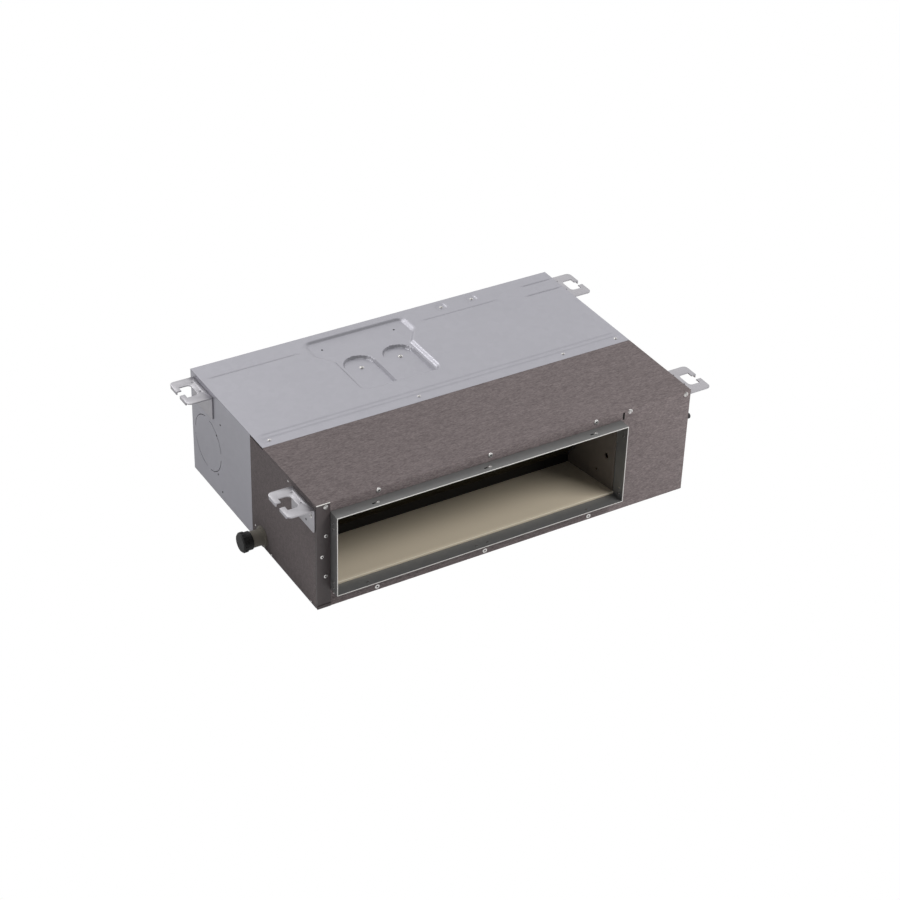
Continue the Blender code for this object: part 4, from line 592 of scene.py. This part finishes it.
# Dull galvanised steel: flatter, greyer and less mirror-like than the casing's sheet.
dress(nodes["outlet_collar"], metal_finish("dull_galvanised_sheet", "#8E8E8D", "#7E7E7D", 0.45, 0.5))
rim = block(
    "collar_edge_highlight", (COLLAR_LEFT - RIM_PROUD, COLLAR_FRONT_Y - RIM_FRONT, COLLAR_BOTTOM - RIM_PROUD),
    (COLLAR_RIGHT + RIM_PROUD, COLLAR_FRONT_Y + RIM_BACK, COLLAR_TOP + RIM_PROUD))
shaped(rim, "DIFFERENCE", block(
    "rim_inside", (COLLAR_LEFT + RIM_WIDTH, COLLAR_FRONT_Y - CUT_ROOM, COLLAR_BOTTOM + RIM_WIDTH),
    (COLLAR_RIGHT - RIM_WIDTH, COLLAR_FRONT_Y + CUT_ROOM, COLLAR_TOP - RIM_WIDTH)))
dress(rim, edge_highlight)
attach(rim, "casing")
# The felt's lower cut edge shows pale under the collar, a painted highlight where it catches the light, and
# a slit runs up from the collar's right end, drawn in painted shade.
lower_edge = block("felt_edge_highlight", FELT_EDGE_LOW, FELT_EDGE_HIGH)
dress(lower_edge, edge_highlight)
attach(lower_edge, "casing")
# A hole's shade: the eye sees no bottom.
hole_shade = new_finish("dark_hole", "#0E0D0C", 0.9)[0]
side_slit = block("side_slit", SLIT_LOW, SLIT_HIGH)
dress(side_slit, hole_shade)
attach(side_slit, "casing")


# Screws, rivets and holes. Zinc-plated pan heads with a cross recess, pressed rings in the felt where the
# washers sit, and small dark holes for the duct and the brackets.

SUNK_FOOT = 0.0005
FLAT_FOOT = 0.0004
HEAD_SIDES = 20
HOLE_SIDES = 16
RIVET_SIDES = 14
AT_TOP = 0.0001


def pan_head(name, radius, height):
    """A pan-head screw at the origin that points up: a domed head on a washer, with a crossed recess."""
    washer_radius, washer_top = radius * 1.3, height * 0.3
    arm, half_slot = radius * 0.6, radius * 0.16
    dome = height * 0.55
    head = rod(name, radius, (0.0, 0.0, -SUNK_FOOT), (0.0, 0.0, height), HEAD_SIDES)
    rounded_edges(head, lambda at: at.z > height - AT_TOP, dome, 3)
    shaped(head, "UNION", rod(
        "washer", washer_radius, (0.0, 0.0, -SUNK_FOOT), (0.0, 0.0, washer_top), HEAD_SIDES))
    for u, v in ((arm, half_slot), (half_slot, arm)):
        shaped(head, "DIFFERENCE", block("recess", (-u, -v, dome), (u, v, height * 2)))
    dress(head, zinc_plate)
    return smooth(head)


def eyelet(name, radius, bore, height):
    """A flat ring at the origin that points up, round a dark hole."""
    floor_z = height * 0.2
    ring = rod(name, radius, (0.0, 0.0, -SUNK_FOOT), (0.0, 0.0, height))
    rounded_edges(ring, lambda at: at.z > height - AT_TOP, height * 0.5, 2)
    shaped(ring, "DIFFERENCE", rod("bore", bore, (0.0, 0.0, floor_z), (0.0, 0.0, height * 2), HOLE_SIDES))
    ring.data.materials.append(zinc_plate)
    ring.data.materials.append(hole_shade)
    for face in ring.data.polygons:
        face.material_index = 1 if abs(face.center.z - floor_z) < AT_TOP / 2 else 0
    return smooth(ring)


def set_in(template, name, place, facing, turn=0.0):
    """A copy of a fastener, at its place on the casing and facing outwards."""
    made = bpy.data.objects.new(name, template.data.copy())
    bpy.context.scene.collection.objects.link(made)
    out = Vector(facing).to_track_quat("Z", "Y").to_matrix().to_4x4()
    made.matrix_world = Matrix.Translation(place) @ out @ Matrix.Rotation(turn, 4, "Z")
    settled(made)
    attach(made, "casing")
    return made


# Zinc plate on steel: smooth and bright, so that each head is a small point of light.
zinc_plate = new_finish("zinc_plate", "#E4E2E0", 0.25, 0.9)[0]
screw = pan_head("screw", 0.0032, 0.0022)
small_screw = pan_head("small_screw", 0.0024, 0.0016)
rivet = dress(rod("rivet", 0.0018, (0.0, 0.0, -FLAT_FOOT), (0.0, 0.0, 0.0008), RIVET_SIDES), zinc_plate)
hole = dress(rod("hole", 0.0018, (0.0, 0.0, -FLAT_FOOT), (0.0, 0.0, 0.00015), RIVET_SIDES), hole_shade)
slot_mark = dress(block("slot", (-0.0028, -0.0012, -FLAT_FOOT), (0.0028, 0.0012, 0.0002)), hole_shade)
felt_ring = eyelet("felt_ring", 0.0043, 0.0015, 0.0010)
strip_ring = eyelet("strip_ring", 0.0034, 0.0014, 0.0012)

front = (0.0, -1.0, 0.0)
up = (0.0, 0.0, 1.0)
left = (-1.0, 0.0, 0.0)
right = (1.0, 0.0, 0.0)
RING_PROUD = 0.0002
UPPER_RING_Z = 0.1933
LOWER_RING_Z = 0.007
COLLAR_HOLE_Y = -0.2375
BEAD_SCREW_Y = -0.025
cover_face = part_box("service_cover")[1].x
# What is set in, the name of its copies, its facing, its turn and its places.
FASTENERS = (
    (felt_ring, "felt_ring", front, 0.0, [
        (x, FRONT_Y - RING_PROUD, UPPER_RING_Z) for x in (-0.242, -0.040, 0.161)]),
    (felt_ring, "lower_felt_ring", front, 0.0, [
        (x, FRONT_Y, LOWER_RING_Z) for x in (-0.243, -0.043, 0.159)]),
    (screw, "front_screw", front, 0.4, [
        (x, FRONT_Y, z) for x, z in ((0.228, 0.1935), (0.3395, 0.1925), (-0.334, 0.1925))]),
    (strip_ring, "strip_ring", front, 0.0, [
        (x, FRONT_Y, z) for x, z in ((-0.334, 0.138), (-0.341, 0.100), (-0.335, 0.061))]),
    (small_screw, "collar_screw", up, 0.5, [
        (x, COLLAR_HOLE_Y, COLLAR_TOP) for x in (-0.250, -0.048, 0.153)]),
    (slot_mark, "collar_slot", up, 0.0, [
        (x, COLLAR_HOLE_Y, COLLAR_TOP) for x in (-0.257, -0.0555, 0.1455)]),
    (rivet, "collar_rivet", left, 0.0, [
        (COLLAR_LEFT, -0.235, z) for z in (0.164, 0.155, 0.052, 0.041)]),
    (rivet, "inside_rivet", up, 0.0, [
        (x, -0.239, COLLAR_BOTTOM + SHEET_THICKNESS) for x in (-0.267, -0.0675, -0.047, 0.144)]),
    (rivet, "right_rivet", left, 0.0, [
        (COLLAR_RIGHT - SHEET_THICKNESS, -0.237, z) for z in (0.166, 0.157, 0.055, 0.043)]),
    (screw, "motor_screw", up, 0.3, [
        (x, y, TOP - PAD_DEPTH) for x, y in ((-0.090, 0.107), (-0.015, 0.108))]),
    (small_screw, "frame_screw", up, 0.7, [
        (x, y, TOP - SQUARE_DEPTH) for x, y in SQUARE_PADS]),
    (small_screw, "bead_screw", up, 0.2, [
        (x, BEAD_SCREW_Y, TOP - BEAD_DEPTHS[1]) for x in (-0.329, -0.055, 0.227, 0.334)]),
    (hole, "recess_hole", up, 0.0, [
        (x, y, TOP - RECESS_DEPTH) for x, y in ((-0.126, 0.181), (0.014, 0.1825))]),
    (rivet, "left_rivet", left, 0.0, [
        (-HALF_LENGTH, y, z) for y, z in (
            (-0.0111, 0.0278), (-0.1323, 0.189), (-0.0679, 0.0041), (-0.2056, 0.0035))]),
    (hole, "left_hole", left, 0.0, [
        (-HALF_LENGTH, y, z) for y, z in ((0.114, 0.150), (0.130, 0.120), (0.114, 0.016), (0.129, 0.043))]),
    (screw, "cover_screw", right, 0.3, [
        (cover_face, y, z) for y in (0.012, 0.126) for z in (0.029, 0.139)]),
)
for template, name, facing, turn, places in FASTENERS:
    for place in places:
        set_in(template, name, place, facing, turn)


# Hanging brackets. Thick galvanised steel, bent and punched, with softly rounded edges, and screwed to the
# side sheets so that the unit hangs on four rods in their slots.

HANGER_PLATE_X = HALF_LENGTH + 0.0023
HANGER_MIDDLE_Y = {"front": -0.1835, "rear": 0.1765}
HANGER_BEVEL = 0.0004
TAB_HOLE_X = 0.3592
TAB_HOLE_RADIUS = 0.0019
TAB_HOLES_Y = (-0.0095, 0.022)
MERGE = 0.00001
FLAT_ANGLE = math.radians(1)
# Each fitting, its name, its distance from the bracket's middle towards the unit's end, its height and turn.
HANGER_FITTINGS = (
    (small_screw, "hanger_screw", 0.0289, 0.174, 0.4),
    (hole, "hanger_hole", 0.029, 0.1815, 0.0),
    (hole, "hanger_hole", 0.0115, 0.157, 0.0),
    (strip_ring, "hanger_ring", 0.0095, 0.168, 0.0),
)
# Thick galvanised steel: a lighter and duller silver than the sheet, with bright rounded edges.
bracket_steel = metal_finish("bracket_steel", "#C2C0C4", "#B0AEB2", 0.42)
for name in ("front_left_hanger", "rear_left_hanger", "front_right_hanger", "rear_right_hanger"):
    end, flank = name.split("_")[:2]
    side = -1 if flank == "left" else 1
    towards_end = -1 if end == "front" else 1
    middle = HANGER_MIDDLE_Y[end]
    tab_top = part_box(name)[1].z
    hanger = bpy.data.objects.new(name + "_bracket", nodes[name].data.copy())
    bpy.context.scene.collection.objects.link(hanger)
    hanger.matrix_world = nodes[name].matrix_world
    settled(hanger)
    bpy.ops.object.mode_set(mode="EDIT")
    bpy.ops.mesh.select_all(action="SELECT")
    bpy.ops.mesh.remove_doubles(threshold=MERGE)
    bpy.ops.mesh.dissolve_limited(angle_limit=FLAT_ANGLE)
    bpy.ops.object.mode_set(mode="OBJECT")
    for y in TAB_HOLES_Y:
        shaped(hanger, "DIFFERENCE", rod(
            "tab_hole", TAB_HOLE_RADIUS, (side * TAB_HOLE_X, middle + y, tab_top - CUT_ROOM),
            (side * TAB_HOLE_X, middle + y, tab_top + CUT_ROOM), HOLE_SIDES))
    worked(hanger, "BEVEL", width=HANGER_BEVEL, segments=2, limit_method="ANGLE", angle_limit=SMOOTH_ANGLE)
    smooth(hanger)
    dress(hanger, bracket_steel)
    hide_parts(name)
    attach(hanger, "casing")
    for template, fitting, away, z, turn in HANGER_FITTINGS:
        place = (side * HANGER_PLATE_X, middle + towards_end * away, z)
        set_in(template, fitting, place, (side, 0.0, 0.0), turn)

for template in (screw, small_screw, rivet, hole, slot_mark, felt_ring, strip_ring):
    bpy.data.objects.remove(template, do_unlink=True)


# Drain socket and cap. The socket is moulded in beige-grey ABS and glued into the casing; the cap is moulded
# rubber with grip ribs round its rim, pushed on by hand.

RIB_COUNT = 18
RIB_SIDES = 8
RIB_SIZE = 0.0009
RIB_START = 0.0025
RIB_END = 0.0085
# Moulded ABS: beige grey, half matt.
socket_grey = moulded("moulded_abs", "#8F897E", 0.5)
for name in ("drain_socket", "pump_outlet"):
    dress(nodes[name], socket_grey)
# Moulded rubber: near black, with a broad dull highlight. The coil's foam seal is as dark: black foam, and
# painted shade for the gap under the coil.
rubber = moulded("moulded_rubber", "#151514", 0.55)
for name in ("drain_cap", "coil_seal"):
    dress(nodes[name], rubber)
cap_low, cap_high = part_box("drain_cap")
cap_middle = (cap_low + cap_high) / 2
cap_radius = (cap_high.z - cap_low.z) / 2
for i in range(RIB_COUNT):
    turn = 2 * math.pi * i / RIB_COUNT
    spot = Vector((0.0, math.cos(turn), math.sin(turn))) * (cap_radius - RIB_SIZE / 3)
    rib = rod("cap_rib", RIB_SIZE, (cap_low.x + RIB_START, cap_middle.y + spot.y, cap_middle.z + spot.z),
              (cap_low.x + RIB_END, cap_middle.y + spot.y, cap_middle.z + spot.z), RIB_SIDES)
    dress(rib, rubber)
    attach(rib, "drain_cap")


# Coil and partition. The fins are thin aluminium strips, pressed onto the copper tubes in a slanting pack.
# The partition is a galvanised sheet, screwed in at the outlet's right end.

FIN_PITCH = 0.0025
FIN_THICKNESS = 0.0004
FIN_END_ROOM = 0.0005
COIL_LEAN = math.radians(35.04)
COIL_FACE = 0.162
COIL_DEPTH = 0.036
fins_low, fins_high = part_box("coil_fins")
foot_y = fins_high.y - COIL_DEPTH * math.cos(COIL_LEAN)
fins = block("coil_fin_pack", (0.0, 0.0, 0.0), (FIN_THICKNESS, COIL_DEPTH, COIL_FACE))
fins.matrix_world = (Matrix.Translation((fins_low.x + FIN_END_ROOM, foot_y, fins_low.z))
                     @ Matrix.Rotation(COIL_LEAN, 4, "X"))
settled(fins)
fin_count = int((fins_high.x - fins_low.x - 2 * FIN_END_ROOM) / FIN_PITCH)
worked(fins, "ARRAY", count=fin_count, use_relative_offset=False, use_constant_offset=True,
       constant_offset_displace=(FIN_PITCH, 0.0, 0.0))
# Coated aluminium: an olive coat, darkened with painted shade for the coil's shaded underside. The pitch is
# a little wider than the real one, so that it shows.
dress(fins, moulded("olive_fin_coat_and_shade", "#4A4536", 0.5))
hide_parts("coil_fins")
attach(fins, "casing")
# Galvanised steel in a dull brown grey: painted shade, deep in the outlet.
dress(nodes["inner_partition"], metal_finish("partition_painted_shade", "#8A8178", "#746C64", 0.5, 0.3))


# Pieces inside the casing. Moulded fans and housings round a dipped motor on a ground shaft, a white pump
# and float, copper tubes with turned brass nuts, and the board in the control box.

# Moulded ABS, black: dark, with a soft highlight along each curve.
black_plastic = moulded("moulded_black_abs", "#232325", 0.5)
for name in ("upper_left_fan_housing", "lower_left_fan_housing", "upper_right_fan_housing",
             "lower_right_fan_housing", "left_fan_wheel", "right_fan_wheel", "filter_frame", "filter_mesh",
             "terminal_block", "side_screw", "fan_motor"):
    dress(nodes[name], black_plastic)
# Moulded ABS, white: a clean warm white, half matt.
white_plastic = moulded("moulded_white_abs", "#D8D7D0", 0.45)
for name in ("drain_pump", "pump_impeller", "float_switch", "float", "run_capacitor"):
    dress(nodes[name], white_plastic)
# Ground steel: bright and sharp in its reflections.
dress(nodes["motor_shaft"], metal_finish("ground_steel", "#C8C8C8", "#B8B8B8", 0.25, 1.0))
# Drawn copper: warm pink brown, with long soft reflections.
copper = metal_finish("drawn_copper", "#C07A5A", "#A9684A", 0.3, 1.0)
for name in ("gas_pipe", "liquid_pipe", "coil_tube"):
    dress(nodes[name], copper)
# Turned brass: pale yellow and bright.
brass = metal_finish("turned_brass", "#C9A860", "#B49450", 0.3, 1.0)
for name in ("gas_flare_nut", "liquid_flare_nut"):
    dress(nodes[name], brass)
# Solder mask over a glass-fibre board: deep green, a little glossy.
dress(nodes["control_board"], moulded("solder_mask", "#1F5A36", 0.45))


bpy.context.scene.view_settings.view_transform = "Standard"
